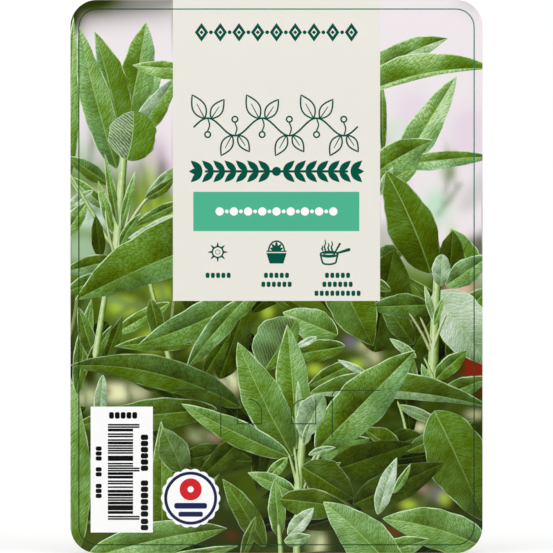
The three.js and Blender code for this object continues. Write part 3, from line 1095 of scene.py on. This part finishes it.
    # the sprig in the middle
    leaf((-3.4, 5.0), (5.2, 18.4), 11.6, form="blunt", tone=0.4, cool=(0.6, 0.2), share=(1.25, 0.6),
         veined=(0.25, 0))
    leaf((5.2, -15.4), (2.8, 17.2), 9.2, tone=0.56, cool=(0.08, 0.42), bend=3)
    leaf((4.2, -17.2), (-10.2, 12.6), 10.8, tone=0.5, cool=(0.18, 0.38), bend=-7, fold=(16, 12))
    leaf((10.4, -15.8), (36.3, 10.4), 13.4, tone=0.63, cool=(0.15, 0.75), share=(1.0, 0.9), fold=(26, 4))
    leaf((3.4, -17.4), (-25.0, -3.5), 7.6, tone=0.47, cool=(0.12, 0.75), share=(0.9, 0.95), bend=-8)
    leaf((2.9, -17.8), (-3.4, -23.8), 3.2, tone=0.62, cool=(0.3, 0.2))
    leaf((5.4, -27.6), (-7.6, -21.6), 4.6, tone=0.58, cool=(0.7, 0.5), bend=12)
    leaf((8.2, -26), (17.0, -18.8), 3.6, tone=0.5, cool=(0.6, 0.3), bend=-16)
    stem((6.2, -28), (12.6, -14.6), 1.1, bend=-10)
    stem((5.6, -26.4), (3.2, -16.6), 0.9, bend=8)
    stem((6.6, -25.4), (11.4, -15.0), 1.0, bend=-14, pale=(0.3, 0.3))
    stem((5.6, -29), (7.2, -8), 2.6)
    stem((5.9, -25.6), (4.6, -14.8), 1.0, bend=6)
    leaf((6.6, -13), (5.6, 2.6), 2.4, tone=0.6, pale=(0.4, 0.4))
    leaf((7.4, -12.4), (12.4, -1.4), 8.4, form="blunt", tone=0.5, pale=(0.75, 0.35), cool=(0.4, 0.4),
         share=(1.0, 0.7), bend=-20, fold=(26, 20), rise=-10, droop=-40)
    leaf((7.2, -14.4), (9.2, -7.6), 2.4, tone=0.55, pale=(0.5, 0.7))
    leaf((8.4, -17.0), (15.6, -15.0), 2.0, tone=0.55, pale=(0.6, 0.6), bend=-20)

    # across the foot
    leaf((6.6, -20), (20.4, -28.4), 10.0, tone=0.2, cool=(0.25, 0.0), share=(1.1, 0.8))
    leaf((-3.0, -41), (-14.2, -23.2), 6.2, tone=0.3, cool=(0.1, 0.1), bend=8)
    leaf((0.6, -38.4), (-0.5, -23.2), 4.6, tone=0.5, cool=(0.5, 0.15))
    leaf((-50, -44.5), (-12.8, -36.2), 9.6, tone=0.58, cool=(0.35, 0.5), bend=-14)
    leaf((-36, -47), (-10.0, -40.8), 4.0, tone=0.55, cool=(0.4, 0.6))
    stem((1.4, -46), (0.6, -35), 1.5)
    stem((5.4, -46), (5.2, -32), 2.2)
    leaf((1.0, -28.6), (20.0, -31.4), 8.0, tone=0.26, cool=(0.0, 0.1), share=(0.9, 1.1), bend=-10)
    leaf((3.0, -38.0), (9.8, -30.8), 4.2, tone=0.72, pale=(0.9, 0.9))
    leaf((2.0, -39.6), (9.0, -38.0), 3.6, tone=0.6, pale=(0.7, 0.4), bend=20)
    leaf((-9, -44), (-5.4, -33), 3.0, tone=0.25)
    leaf((30.4, -27.0), (35.2, -19.2), 2.2, tone=0.5, cool=(0.7, 0.2), bend=16)
    leaf((26.6, -32.6), (31.6, -17.6), 4.4, tone=0.66, pale=(1, 0.9), bend=-12)
    leaf((56, -42), (27.6, -33.6), 11.0, tone=0.56, cool=(0.4, 0.5), bend=22)
    leaf((24, -44), (40, -39), 6.0, tone=0.58, cool=(0.3, 0.5))
    leaf((33.0, -50), (12.2, -29.2), 12.2, tone=0.6, cool=(0.45, 0.5), share=(1.0, 0.95), bend=14)
    return rows


# Whether a spot lies in a pale patch, which no inner leaf may hide
def hides(patch, spot):
    tint, x, z, wide, tall, strength = patch
    away = math.hypot((spot[0] - x) / wide, (spot[1] - z) / tall)
    return tint not in ("depth", "moss", "slate") and away < 1.3


inner = {
    "count": 66,
    "tall": 78,  # how high over the card's foot they start at most
    "low": 1.2,  # above 1, more of them start low
    "topmost": 32,  # the most height of a leaf's middle
    "length": (11, 27),
    "bend": 34,
    "width": (3.2, 7.4),
    "share": (0.6, 1.2),
    "stalk": 6,  # each so many is a stalk, this wide
    "stalkWidth": (0.7, 1.5),
}


# Dark leaves and thin stalks behind the sprigs, thrown about the lower part, but not over its soft patches
def innerLeaves():
    grown = []
    while len(grown) < inner["count"]:
        x = random.uniform(card["left"], card["right"])
        z = card["foot"] + inner["tall"] * random.random()**inner["low"]
        aim, length = random.uniform(0, 2 * math.pi), random.uniform(*inner["length"])
        tip = (x + length * math.cos(aim), z + length * math.sin(aim))
        bend = random.uniform(-inner["bend"], inner["bend"])
        spots = np.linspace((x, z), tip, 9)
        hiding = any(hides(patch, spot) for patch in softPatches for spot in spots)
        if hiding or spots[4][1] > inner["topmost"]:
            continue
        if len(grown) % inner["stalk"] == inner["stalk"] - 1:
            grown.append(Leaf((x, z), tip, random.uniform(*inner["stalkWidth"]), kind="stem", bend=bend,
                              tone=random.uniform(0.0, 0.12), pale=(random.random() * 0.5,) * 2))
            continue
        grown.append(Leaf((x, z), tip, random.uniform(*inner["width"]), bend=bend,
                          tone=random.uniform(-0.1, 0.2), steps=24,
                          cool=(random.uniform(0, 0.25), random.uniform(0, 0.25)),
                          share=(random.uniform(*inner["share"]), random.uniform(*inner["share"]))))
    return grown


leaves = innerLeaves() + sprigLeaves()
print("leaves laid out:", len(leaves))


# A layer of the grid, blurred by so many mm
def blurred(layer, spread):
    pad = int(3 * spread / picture["grid"]) + 1
    wide = np.pad(layer, [(pad, pad), (pad, pad)] + [(0, 0)] * (layer.ndim - 2), mode="edge")
    sigma = spread / picture["grid"]
    reach = [np.exp(-2 * (math.pi * sigma * np.fft.fftfreq(n)) ** 2) for n in wide.shape[:2]]
    passBand = reach[0][:, None] * reach[1][None]
    if layer.ndim == 3:
        passBand = passBand[..., None]
    soft = np.fft.ifft2(np.fft.fft2(wide, axes=(0, 1)) * passBand, axes=(0, 1)).real
    return soft[pad:-pad, pad:-pad]


gridX = np.arange(card["left"] - 6, card["right"] + 6, picture["grid"])
gridZ = np.arange(card["foot"] - 6, card["top"] + 6, picture["grid"])
cells = np.stack(np.meshgrid(gridX, gridZ), 2)


# The cells under a leaf, with the same values that its own points get
def cellsUnder(leaf):
    reach = leaf.half[1].max() + leaf.half[-1].max() + 1
    low, high = leaf.middle.min(0) - reach, leaf.middle.max(0) + reach
    columns = np.flatnonzero((gridX > low[0]) & (gridX < high[0]))
    rows = np.flatnonzero((gridZ > low[1]) & (gridZ < high[1]))
    if not len(columns) or not len(rows):
        return None
    block = np.ix_(rows, columns)
    u, across = leaf.locate(cells[block].reshape(-1, 2))
    side = np.where(across >= 0, 1, -1)
    half = np.where(side > 0, np.interp(u, leaf.u, leaf.half[1]), np.interp(u, leaf.u, leaf.half[-1]))
    inside = (np.abs(across) <= half) & (u > 0) & (u < 1)
    shape = (len(rows), len(columns))
    return block, inside.reshape(shape), u.reshape(shape), across.reshape(shape), side.reshape(shape)


# How near the picture lies at each cell of the grid, from 0 for the far ground to 1 for the foremost leaf
def nearness():
    near = np.zeros(cells.shape[:2])
    for rank, leaf in enumerate(leaves):
        leaf.lift = picture["firstLift"] + (1 - picture["firstLift"]) * rank / len(leaves)
        found = cellsUnder(leaf)
        if found:
            block, inside = found[:2]
            patch = near[block]
            patch[inside] = leaf.lift
            near[block] = patch
    return near


near = nearness()

# The shade that near leaves throw, sharp and soft: how far it is blurred and how far it falls, in mm
shades = [(blurred(near, blur), fall) for blur, fall in ((0.9, 0.9), (3.0, 2.2))]


# A value of a grid at loose points
def sample(layer, points):
    x = np.clip((points[:, 0] - gridX[0]) / picture["grid"], 0, len(gridX) - 1.001)
    z = np.clip((points[:, 1] - gridZ[0]) / picture["grid"], 0, len(gridZ) - 1.001)
    i, j = x.astype(int), z.astype(int)
    fx, fz = x - i, z - j
    if layer.ndim == 3:
        fx, fz = fx[:, None], fz[:, None]
    low = layer[j, i] * (1 - fx) + layer[j, i + 1] * fx
    high = layer[j + 1, i] * (1 - fx) + layer[j + 1, i + 1] * fx
    return low * (1 - fz) + high * fz


# What is left of the light at points that lie so near, once nearer leaves have taken theirs
def openness(points, lift):
    left = np.ones(len(points))
    for layer, fall in shades:
        above = sample(layer, points + lamp[:2] * fall) - lift
        left = left * (1 - np.clip(above * picture["shadeGain"], 0, picture["shadeMost"]))
    return left


# The far ground in mm: where the meadow and the sky above it start, and the height over which each fades in
distance = {
    "meadow": (12, 20),
    "sky": (41, 11),
    "skySlope": 16,  # how much lower the sky starts at the right edge
    "strewn": 60,  # leaves thrown over it
    "strewnTall": 92,  # how high over the card's foot those start at most
    "strewnLength": (14, 32),
    "strewnWidth": (4, 9),
    "strewnBend": 25,
    "blur": 0.9,  # how far they are out of focus
}


# The out-of-focus leaves and the pale light between them, as one soft field of colour
def backdropColours():
    side = cells[..., 0] / card["right"]
    height = cells[..., 1]
    start, fade = distance["sky"]
    sky = np.clip((height - start + distance["skySlope"] * side) / fade, 0, 1)[..., None]
    start, fade = distance["meadow"]
    mid = np.clip((height - start) / fade, 0, 1)[..., None]
    tints = {name: np.array(tint[:3]) for name, tint in softTints.items()}
    colour = tints["depth"] * (1 - mid) + tints["meadow"] * mid
    colour = colour * (1 - sky) + tints["sky"] * sky
    for leaf in strewnLeaves(distance["strewn"]):
        paintLeaf(colour, leaf, picture["haze"] if leaf.middle[0][1] > picture["hazeFrom"] else 0.8)
    colour = blurred(colour, distance["blur"])
    for leaf in deepLeaves():
        paintLeaf(colour, leaf, 0.8)
    for tint, x, z, wide, tall, strength in softPatches:
        within = np.exp(-((cells[..., 0] - x) / wide) ** 2 - ((height - z) / tall) ** 2)
        share = strength * np.clip(1.7 * within, 0, 1)[..., None]
        colour = colour * (1 - share) + tints[tint] * share
    for leaf in hazyStalks():
        paintLeaf(colour, leaf, 0.6 if leaf.middle[0][1] > picture["hazeFrom"] else 0.85)
    dark = np.clip(1 - colour.mean(-1) / picture["darkBelow"], 0, 1)
    colour[..., 2] *= 1 - 0.8 * dark
    return blurred(colour, picture["softness"]), blurred(mid[..., 0], 2)


# Leaves thrown over the lower part of the picture, at all angles
def strewnLeaves(count):
    for _ in range(count):
        x = random.uniform(card["left"], card["right"])
        z = random.uniform(card["foot"], card["foot"] + distance["strewnTall"])
        aim, length = random.uniform(0, 2 * math.pi), random.uniform(*distance["strewnLength"])
        tip = (x + length * math.cos(aim), z + length * math.sin(aim))
        yield Leaf((x, z), tip, random.uniform(*distance["strewnWidth"]),
                   bend=random.uniform(-distance["strewnBend"], distance["strewnBend"]), steps=10,
                   tone=random.uniform(-0.1, 0.3), cool=(random.uniform(0, 0.2), random.uniform(0, 0.2)))


# Paints a leaf over a field of colour, with its midrib, its rim and the shade that it throws
def paintLeaf(colour, leaf, strength):
    found = cellsUnder(leaf)
    if not found:
        return
    block, inside, u, across, side = found
    shade = np.zeros(u.shape)
    half = np.ones(u.shape)
    sheen = np.zeros(u.shape)
    for which in (1, -1):
        on = inside & (side == which)
        shade[on], sheen[on], half[on], _ = leaf.lit(u[on], across[on], which)
    shade = np.clip(1.1 * shade - 0.04, 0.02, 1)
    tint = colourAt(leafGreens, shade)
    sheen = sheen[..., None]
    tint = tint * (1 - sheen) + colourAt(leafSheens, shade) * sheen
    line = (np.abs(across) < 0.3) | (half - np.abs(across) < 0.45)
    tint[line] = tint[line] * 0.7 + np.array(leafInk["rimLight"][:3]) * 0.3 * shade[line][:, None]
    reach = blurred(inside.astype(float), 1.2)[..., None]
    patch = colour[block] * (1 - 0.25 * strength * reach)
    patch[inside] = patch[inside] * (1 - strength) + tint[inside] * strength
    colour[block] = patch


backdrop, farLight = backdropColours()
print("backdrop painted on", backdrop.shape[:2], "cells")


# The printed picture is one flat sheet, cut along the edges of what it shows. Each triangle belongs to the
# nearest leaf that covers it, given by the leaf's rank and the side of its midrib, or to the ground.
def mosaic():
    points, faces, owners = [], [], []

    def add(loop, owner):
        start = len(points)
        points.extend(loop if areaOf(loop) > 0 else loop[::-1])
        faces.append(list(range(start, start + len(loop))))
        owners.append(owner)

    add([tuple(p) for p in cardEdge], "card")
    half, above = panel["width"] / 2, card["top"] + 1
    for left, right, foot, top in ((-half, half, panel["foot"], above),
                                   (code["left"], code["right"], code["foot"], code["top"])):
        add([(left, foot), (right, foot), (right, top), (left, top)], "gap")
    for cut in dieCuts:
        add([tuple(p) for p in cut], "gap")
    for rank, leaf in enumerate(leaves):
        last = len(leaf.u) - 1
        start = len(points)
        points.extend(map(tuple, leaf.middle))
        for side in (1, -1):
            first = len(points)
            points.extend(map(tuple, leaf.margin(side)[1:-1]))
            loop = [*range(start, start + last + 1), *range(first + last - 2, first - 1, -1)]
            faces.append(loop if areaOf([points[i] for i in loop]) > 0 else loop[::-1])
            owners.append((rank, side))
        for side in (1, -1):
            points.extend(map(tuple, leaf.margin(side, 0.5)[2:-2:2]))
    step = picture["lattice"]
    for i, x in enumerate(np.arange(card["left"] + 0.6, card["right"], step)):
        for z in np.arange(card["foot"] + 0.5 + (i % 2) * step / 2, card["top"], step):
            points.append((x, z))
    flat = [Vector(p) for p in points]
    tiny = 1e-4  # what counts as one spot, in mm
    spots, _, cut, _, _, inside = delaunay_2d_cdt(flat, [], faces, 1, tiny, True)
    spots = np.array([tuple(p) for p in spots])
    kept, shown = [], []
    for corners, within in zip(cut, inside):
        names = [owners[i] for i in within]
        if "card" not in names or "gap" in names:
            continue
        kept.append(corners if areaOf(spots[corners]) > 0 else corners[::-1])
        shown.append(max((n for n in names if n != "card"), default=(-1, 0)))
    spots, kept = usedOnly(spots, kept)
    return np.array(spots), np.array(kept), np.array(shown)


sheetPoints, sheetFaces, sheetOwners = mosaic()
print("picture cut into", len(sheetFaces), "triangles")


# Adds a layer of values at the corners of the mesh's faces
def cornerLayer(mesh, name, values):
    size = values.shape[1]
    if size == 2:
        mesh.uv_layers.new(name=name).data.foreach_set("uv", values.ravel())
    elif size == 3:
        mesh.attributes.new(name, "FLOAT_VECTOR", "CORNER").data.foreach_set("vector", values.ravel())
    else:
        mesh.attributes.new(name, "FLOAT_COLOR", "CORNER").data.foreach_set("color", values.ravel())


# The sheet, with what its inks need to know at each corner: how far along and across its leaf it lies, the
# light on the leaf, the way to the lamp and the finish of that half
def printedPicture():
    mesh = bpy.data.meshes.new("printed_picture")
    mesh.from_pydata([(x * mm, depthOf(1), z * mm) for x, z in sheetPoints], [], sheetFaces.tolist())
    corners = sheetPoints[sheetFaces.ravel()]
    count = len(corners)
    alongAcross = np.zeros((count, 2))
    reachHalf = np.zeros((count, 2))
    leafLight = np.zeros((count, 4))
    reliefLight = np.zeros((count, 3))
    veinRib = np.zeros((count, 2))
    groundColour = np.ones((count, 4))
    ownerOfCorner = np.repeat(sheetOwners, 3, axis=0)
    for rank, side in sorted(set(map(tuple, sheetOwners.tolist()))):
        mine = np.flatnonzero((ownerOfCorner == (rank, side)).all(1))
        spots = corners[mine]
        if rank < 0:
            taken = (1 - openness(spots, picture["underLift"])) * picture["underShade"]
            taken *= 1 - sample(farLight, spots)
            groundColour[mine, :3] = sample(backdrop, spots) * (1 - taken)[:, None]
            continue
        leaf = leaves[rank]
        u, across = leaf.locate(spots)
        across = side * np.abs(across)
        light, sheen, half, toLamp = leaf.lit(u, across, side)
        climb = np.clip((spots[:, 1] - picture["upwardFrom"]) / picture["upwardOver"], 0, 1)
        upward = picture["upward"] * climb
        light = np.clip((picture["gain"] + upward) * light * openness(spots, leaf.lift) - 0.03, 0.02, 1)
        alongAcross[mine] = np.stack([u * leaf.length, across], 1)
        reachHalf[mine] = np.stack([u, half], 1)
        leafLight[mine] = np.stack([light, sheen, np.full_like(u, leaf.pale[side]),
                                    np.full_like(u, leaf.seed)], 1)
        reliefLight[mine] = np.stack([toLamp[:, 0], toLamp[:, 1], np.full_like(u, leaf.crisp)], 1)
        veinRib[mine] = (leaf.veined[side], leaf.rib)
    onSheet = (corners - [card["left"], card["foot"]]) / max(card["right"] * 2, card["top"] - card["foot"])
    layers = {"OFBake": onSheet, "alongAcross": alongAcross, "reachHalf": reachHalf, "veinRib": veinRib,
              "leafLight": leafLight, "reliefLight": reliefLight, "groundColour": groundColour}
    for name, values in layers.items():
        cornerLayer(mesh, name, values)
    kinds = ["ground", "leaf", "stem"]
    for maker in (groundPrint, leafPrint, stemPrint):
        mesh.materials.append(maker())
    slots = [0 if rank < 0 else kinds.index(leaves[rank].kind) for rank, side in sheetOwners.tolist()]
    mesh.polygons.foreach_set("material_index", slots)
    sheet = bpy.data.objects.new("printed_picture", mesh)
    bpy.context.scene.collection.objects.link(sheet)
    return sheet


def groundPrint():
    s = Shader("printed ground", **varnish)
    s.feed("Base Color", s.attribute("groundColour", 0))
    return s.material


# How a printed leaf is drawn, in mm where nothing else is said
blade = {
    "vein": 2.1,  # spacing of the side veins, then of the finer ones between them
    "fineVein": 0.62,
    "ridge": 0.9,  # spacing of the raised veins on a lower face
    "sweep": 0.8,  # how far the veins lean towards the tip, for each mm from the midrib
    "net": (1.5, 1.15),  # cells of the raised net to the mm, along and across
    "netStep": 0.22,  # how far the net is shifted for its lit slopes, in cells
    "rim": 0.75,  # the pale rim fades out 0.3 of this from the edge; where it frays, rimSpread is added
    "rimSpread": 0.7,
    "ribTip": 0.02,  # half the midrib's width at the tip, and how much more it is at the foot
    "ribSwell": 0.15,
}


def leafPrint():
    s = Shader("printed leaf", **varnish)
    place = s.uvMap("alongAcross")
    along = s.axis(place, 0)
    across = s.axis(place, 1)
    reach = s.uvMap("reachHalf")
    u = s.axis(reach, 0)
    half = s.axis(reach, 1)
    values = s.attribute("leafLight", 0)
    light = s.channel(values, 0)
    sheen = s.channel(values, 1)
    pale = s.channel(values, 2)
    seed = s.attribute("leafLight", 3)
    relief = s.attribute("reliefLight", 1)
    lampAlong = s.axis(relief, 0)
    lampAcross = s.axis(relief, 1)
    crisp = s.axis(relief, 2)
    finish = s.uvMap("veinRib")
    veined = s.axis(finish, 0)
    ribbed = s.axis(finish, 1)

    out = across.size()
    shift = seed * 137.0
    spot = s.vector(along + shift, across)
    wobble = (s.noise(spot, 0.9, 1.0) - 0.5) * 0.9
    sweep = along - out * blade["sweep"] + wobble

    # side veins, sunk in the upper face, with the finer net between them
    veinLine = 1 - (sweep * (math.pi / blade["vein"])).sine().size().step(0.0, 0.34)
    fine = (sweep * (math.pi / blade["fineVein"])).sine().size()
    ridges = 1 - (sweep * (math.pi / blade["ridge"])).sine().size().step(0.0, 0.9)

    # the raised net, seen from its own place and from a little nearer the lamp, which gives its lit slopes
    def pebble(shiftToLamp):
        x = (sweep + shift) * blade["net"][0] + lampAlong * shiftToLamp
        y = across * blade["net"][1] + lampAcross * shiftToLamp
        return s.node("ShaderNodeTexVoronoi", {"feature": "SMOOTH_F1", "voronoi_dimensions": "2D"},
                      {"Vector": s.vector(x, y), "Scale": 1.0, "Smoothness": 0.35})

    slopes = pebble(blade["netStep"]) - pebble(0.0)
    clouds = s.noise(spot, 0.28, 2.0) - 0.5
    grain = s.noise(spot, 3.4, 2.0) - 0.5
    speckle = s.noise(spot, 9.0, 1.0) - 0.5
    fineness = 0.4 + crisp * 0.6
    shade = light + slopes * 0.75 * (0.10 + light) + clouds * 0.22
    shade = shade + (grain * 0.18 + speckle * 0.16) * fineness
    shade = shade - veinLine * 0.09 * (light + 0.25) + (fine - 0.6) * 0.05
    green = s.ramp(shade, leafGreens)
    felted = s.ramp(shade + 0.03, leafSheens)
    body = s.mix((sheen + clouds * 0.7 + grain * 0.35).most(0).least(1), green, felted)
    under = s.ramp(shade + veinLine * 0.20 - 0.08, leafPales)
    body = s.mix((pale + clouds * 0.5).most(0).least(1) * (pale * 6).least(1), body, under)
    raised = (ridges * 0.62 - slopes * 0.8 + 0.06).most(0).least(1)
    body = s.mix(raised * veined, body, s.ramp(light + 0.34, leafPales))

    edge = half - out
    ragged = (s.noise(s.vector(along + shift, 0.0), 2.3, 1.0) - 0.5) * 0.3
    frayed = s.noise(s.vector(along + shift, across.step(-0.01, 0.01) * 40), 0.2, 1.0).step(0.32, 0.62)
    rim = 1 - ((edge + ragged) / (blade["rim"] + frayed * blade["rimSpread"])).step(0.06, 0.30)
    edgeLit = lampAcross * (across.step(-0.01, 0.01) * 2 - 1)
    rimInk = s.mix(light.step(0.04, 0.52), leafInk["rimShade"], leafInk["rimLight"])
    ribHalf = blade["ribTip"] + (1 - u) * blade["ribSwell"]
    rib = 1 - (out - ribHalf).step(-0.06, 0.16)
    ribInk = s.mix(light.step(0.15, 0.75), leafInk["ribShade"], leafInk["ribLight"])
    colour = s.mix((rib * (ribbed + frayed * 0.4)).least(1), body, ribInk)
    strength = (0.05 + frayed * 0.68 + edgeLit * 0.75).most(0.06).least(1) * crisp
    colour = s.mix(rim * strength * (light * 1.7 + 0.15).least(1), colour, rimInk)
    s.feed("Base Color", colour)
    return s.material


def stemPrint():
    s = Shader("printed stem", **varnish)
    place = s.uvMap("alongAcross")
    across = s.axis(place, 1)
    reach = s.uvMap("reachHalf")
    half = s.axis(reach, 1)
    values = s.attribute("leafLight", 0)
    light = s.channel(values, 0)
    stretched = s.node("ShaderNodeMapping", {}, {"Vector": place, "Scale": (0.35, 2.2, 1.0)})
    hairs = s.noise(stretched, 1.6, 3.0) - 0.5
    fuzz = s.noise(place, 5.0, 2.0) - 0.5
    corner = 1 - ((across / half.most(0.1)) - 0.22).size().step(0.0, 0.22)
    shade = light * 1.15 + 0.08 + hairs * 0.34 + fuzz * 0.22 + corner * 0.10
    colour = s.ramp(shade, stemGreens)
    rosy = s.channel(values, 2)
    colour = s.mix(rosy * (0.6 + hairs).most(0).least(1), colour, s.ramp(shade, stemRoses))
    rim = 1 - (half - across.size() + fuzz * 0.25).step(0.0, 0.22)
    s.feed("Base Color", s.mix(rim * light.step(0.1, 0.6) * 0.6, colour, leafInk["rimLight"]))
    return s.material


printedSheet = printedPicture()
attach(printedSheet, "root")
print("picture printed:", len(leaves), "leaves in focus")

plastic = {
    "roughness": 0.46,
    "mottle": 0.3,
    "grain": 0.00002,  # height of the pressed grain, in metres
    "grainSize": 2600,
    "clouds": 34,
    "streaks": 420,
    "rubs": 90,
    "inkOver": 0.07,  # how far the knife has drawn the ink over the cut edge, in mm
}


# The bare sheet: milk-white plastic with a fine pressed grain, a little greyer where stacks have rubbed it.
# Its cut edge is duller, with a trace of the front's ink.
def plainPlastic():
    s = Shader("card plastic", roughness=plastic["roughness"])
    place = s.place()
    clouds = s.noise(place, plastic["clouds"], 3.0) - 0.5
    rolled = s.node("ShaderNodeMapping", {}, {"Vector": place, "Scale": (1.0, 1.0, 0.16)})
    streaks = s.noise(rolled, plastic["streaks"], 2.0) - 0.5
    grain = s.noise(place, plastic["grainSize"], 2.0)
    rubbed = s.noise(place, plastic["rubs"], 5.0).step(0.56, 0.72)
    tone = (clouds * 1.6 + streaks * 0.8) * plastic["mottle"] + 0.5 - rubbed * 0.25
    colour = s.mix(tone.most(0).least(1), ink(232, 232, 228), ink(247, 246, 242))
    facing = s.node("ShaderNodeTexCoord", output=1)
    edge = 1 - s.axis(facing, 1).size().step(0.4, 0.9)
    depth = s.axis(place, 1) * (1 / mm) - card["front"]
    inked = 1 - (depth + streaks * 0.1).step(plastic["inkOver"] * 0.5, plastic["inkOver"] * 1.5)
    cutColour = s.mix(inked * 0.7, ink(206, 208, 202), ink(96, 124, 74))
    s.feed("Base Color", s.mix(edge, colour, cutColour))
    s.feed("Roughness", plastic["roughness"] + clouds * 0.12 + rubbed * 0.10)
    bump = s.node("ShaderNodeBump", {}, {"Strength": 0.5, "Distance": plastic["grain"], "Height": grain})
    s.feed("Normal", bump)
    return s.material


labelCard.data.materials.clear()
labelCard.data.materials.append(plainPlastic())
print("plastic set")

studio = {
    "distance": 1.2,
    "sensor": 36,
    "light": 1.80,  # strength of the soft light all round
    "backLight": 0.80,  # its strength behind the label, so that the white back stands out from the ground
    "behindCamera": 0.02,  # what the gloss of the sheet mirrors: the dark room behind the camera
    "darkRoom": (-0.92, -0.74),  # where that room ends and where the light is full, from -1 before the label
    "behind": (-0.4, 0.1),  # where the light starts to dim, and where it is as dim as behind the label
    "floor": 0.2,
}


# Straight before the label, with a lens that makes the card as high as the frame
def camera():
    height = card["top"] - card["foot"]
    middle = (card["top"] + card["foot"]) / 2
    bpy.ops.object.camera_add(location=(0, -studio["distance"], middle * mm), rotation=(math.pi / 2, 0, 0))
    seen = bpy.context.object
    seen.data.sensor_width = studio["sensor"]
    seen.data.lens = studio["sensor"] * studio["distance"] / (height * mm)
    bpy.context.scene.camera = seen


# Soft light all round, brighter before the label than behind it, but for a dark patch straight before it.
# The ground that the camera sees is plain white.
def studioLight():
    world = bpy.data.worlds.new("studio")
    world.use_nodes = True
    bpy.context.scene.world = world
    tree = world.node_tree
    around = tree.nodes["Background"]
    around.inputs["Color"].default_value = (1, 1, 1, 1)
    toward = tree.nodes.new("ShaderNodeTexCoord")
    parts = tree.nodes.new("ShaderNodeSeparateXYZ")
    tree.links.new(toward.outputs["Generated"], parts.inputs[0])

    def fade(start, end, low, high):
        made = tree.nodes.new("ShaderNodeMapRange")
        made.interpolation_type = "SMOOTHSTEP"
        for socket, value in zip(("From Min", "From Max", "To Min", "To Max"), (start, end, low, high)):
            made.inputs[socket].default_value = value
        tree.links.new(parts.outputs["Y"], made.inputs["Value"])
        return made.outputs["Result"]

    def joined(operation, one, other):
        made = tree.nodes.new("ShaderNodeMath")
        made.operation = operation
        tree.links.new(one, made.inputs[0])
        tree.links.new(other, made.inputs[1])
        return made.outputs[0]

    before = fade(*studio["darkRoom"], studio["behindCamera"], studio["light"])
    behind = fade(*studio["behind"], 1.0, studio["backLight"] / studio["light"])
    rays = tree.nodes.new("ShaderNodeLightPath")
    strength = joined("MAXIMUM", joined("MULTIPLY", before, behind), rays.outputs["Is Camera Ray"])
    tree.links.new(strength, around.inputs["Strength"])
    bpy.context.scene.view_settings.view_transform = "Standard"


# A pale round floor that the label stands on
def paleFloor():
    bpy.ops.object.select_all(action="DESELECT")
    bpy.ops.mesh.primitive_circle_add(vertices=96, radius=studio["floor"], fill_type="NGON",
                                      location=(0, 0, card["foot"] * mm - 0.0001))
    floor = bpy.context.object
    floor.name = "floor"
    paint = Shader("pale floor", roughness=0.9)
    place = paint.place()
    clouds = paint.noise(place, 12, 3.0)
    paint.feed("Base Color", paint.mix(clouds, ink(246, 246, 245, 1.0), ink(251, 251, 250, 1.0)))
    floor.data.materials.append(paint.material)


paleFloor()
camera()
studioLight()
print("studio set")
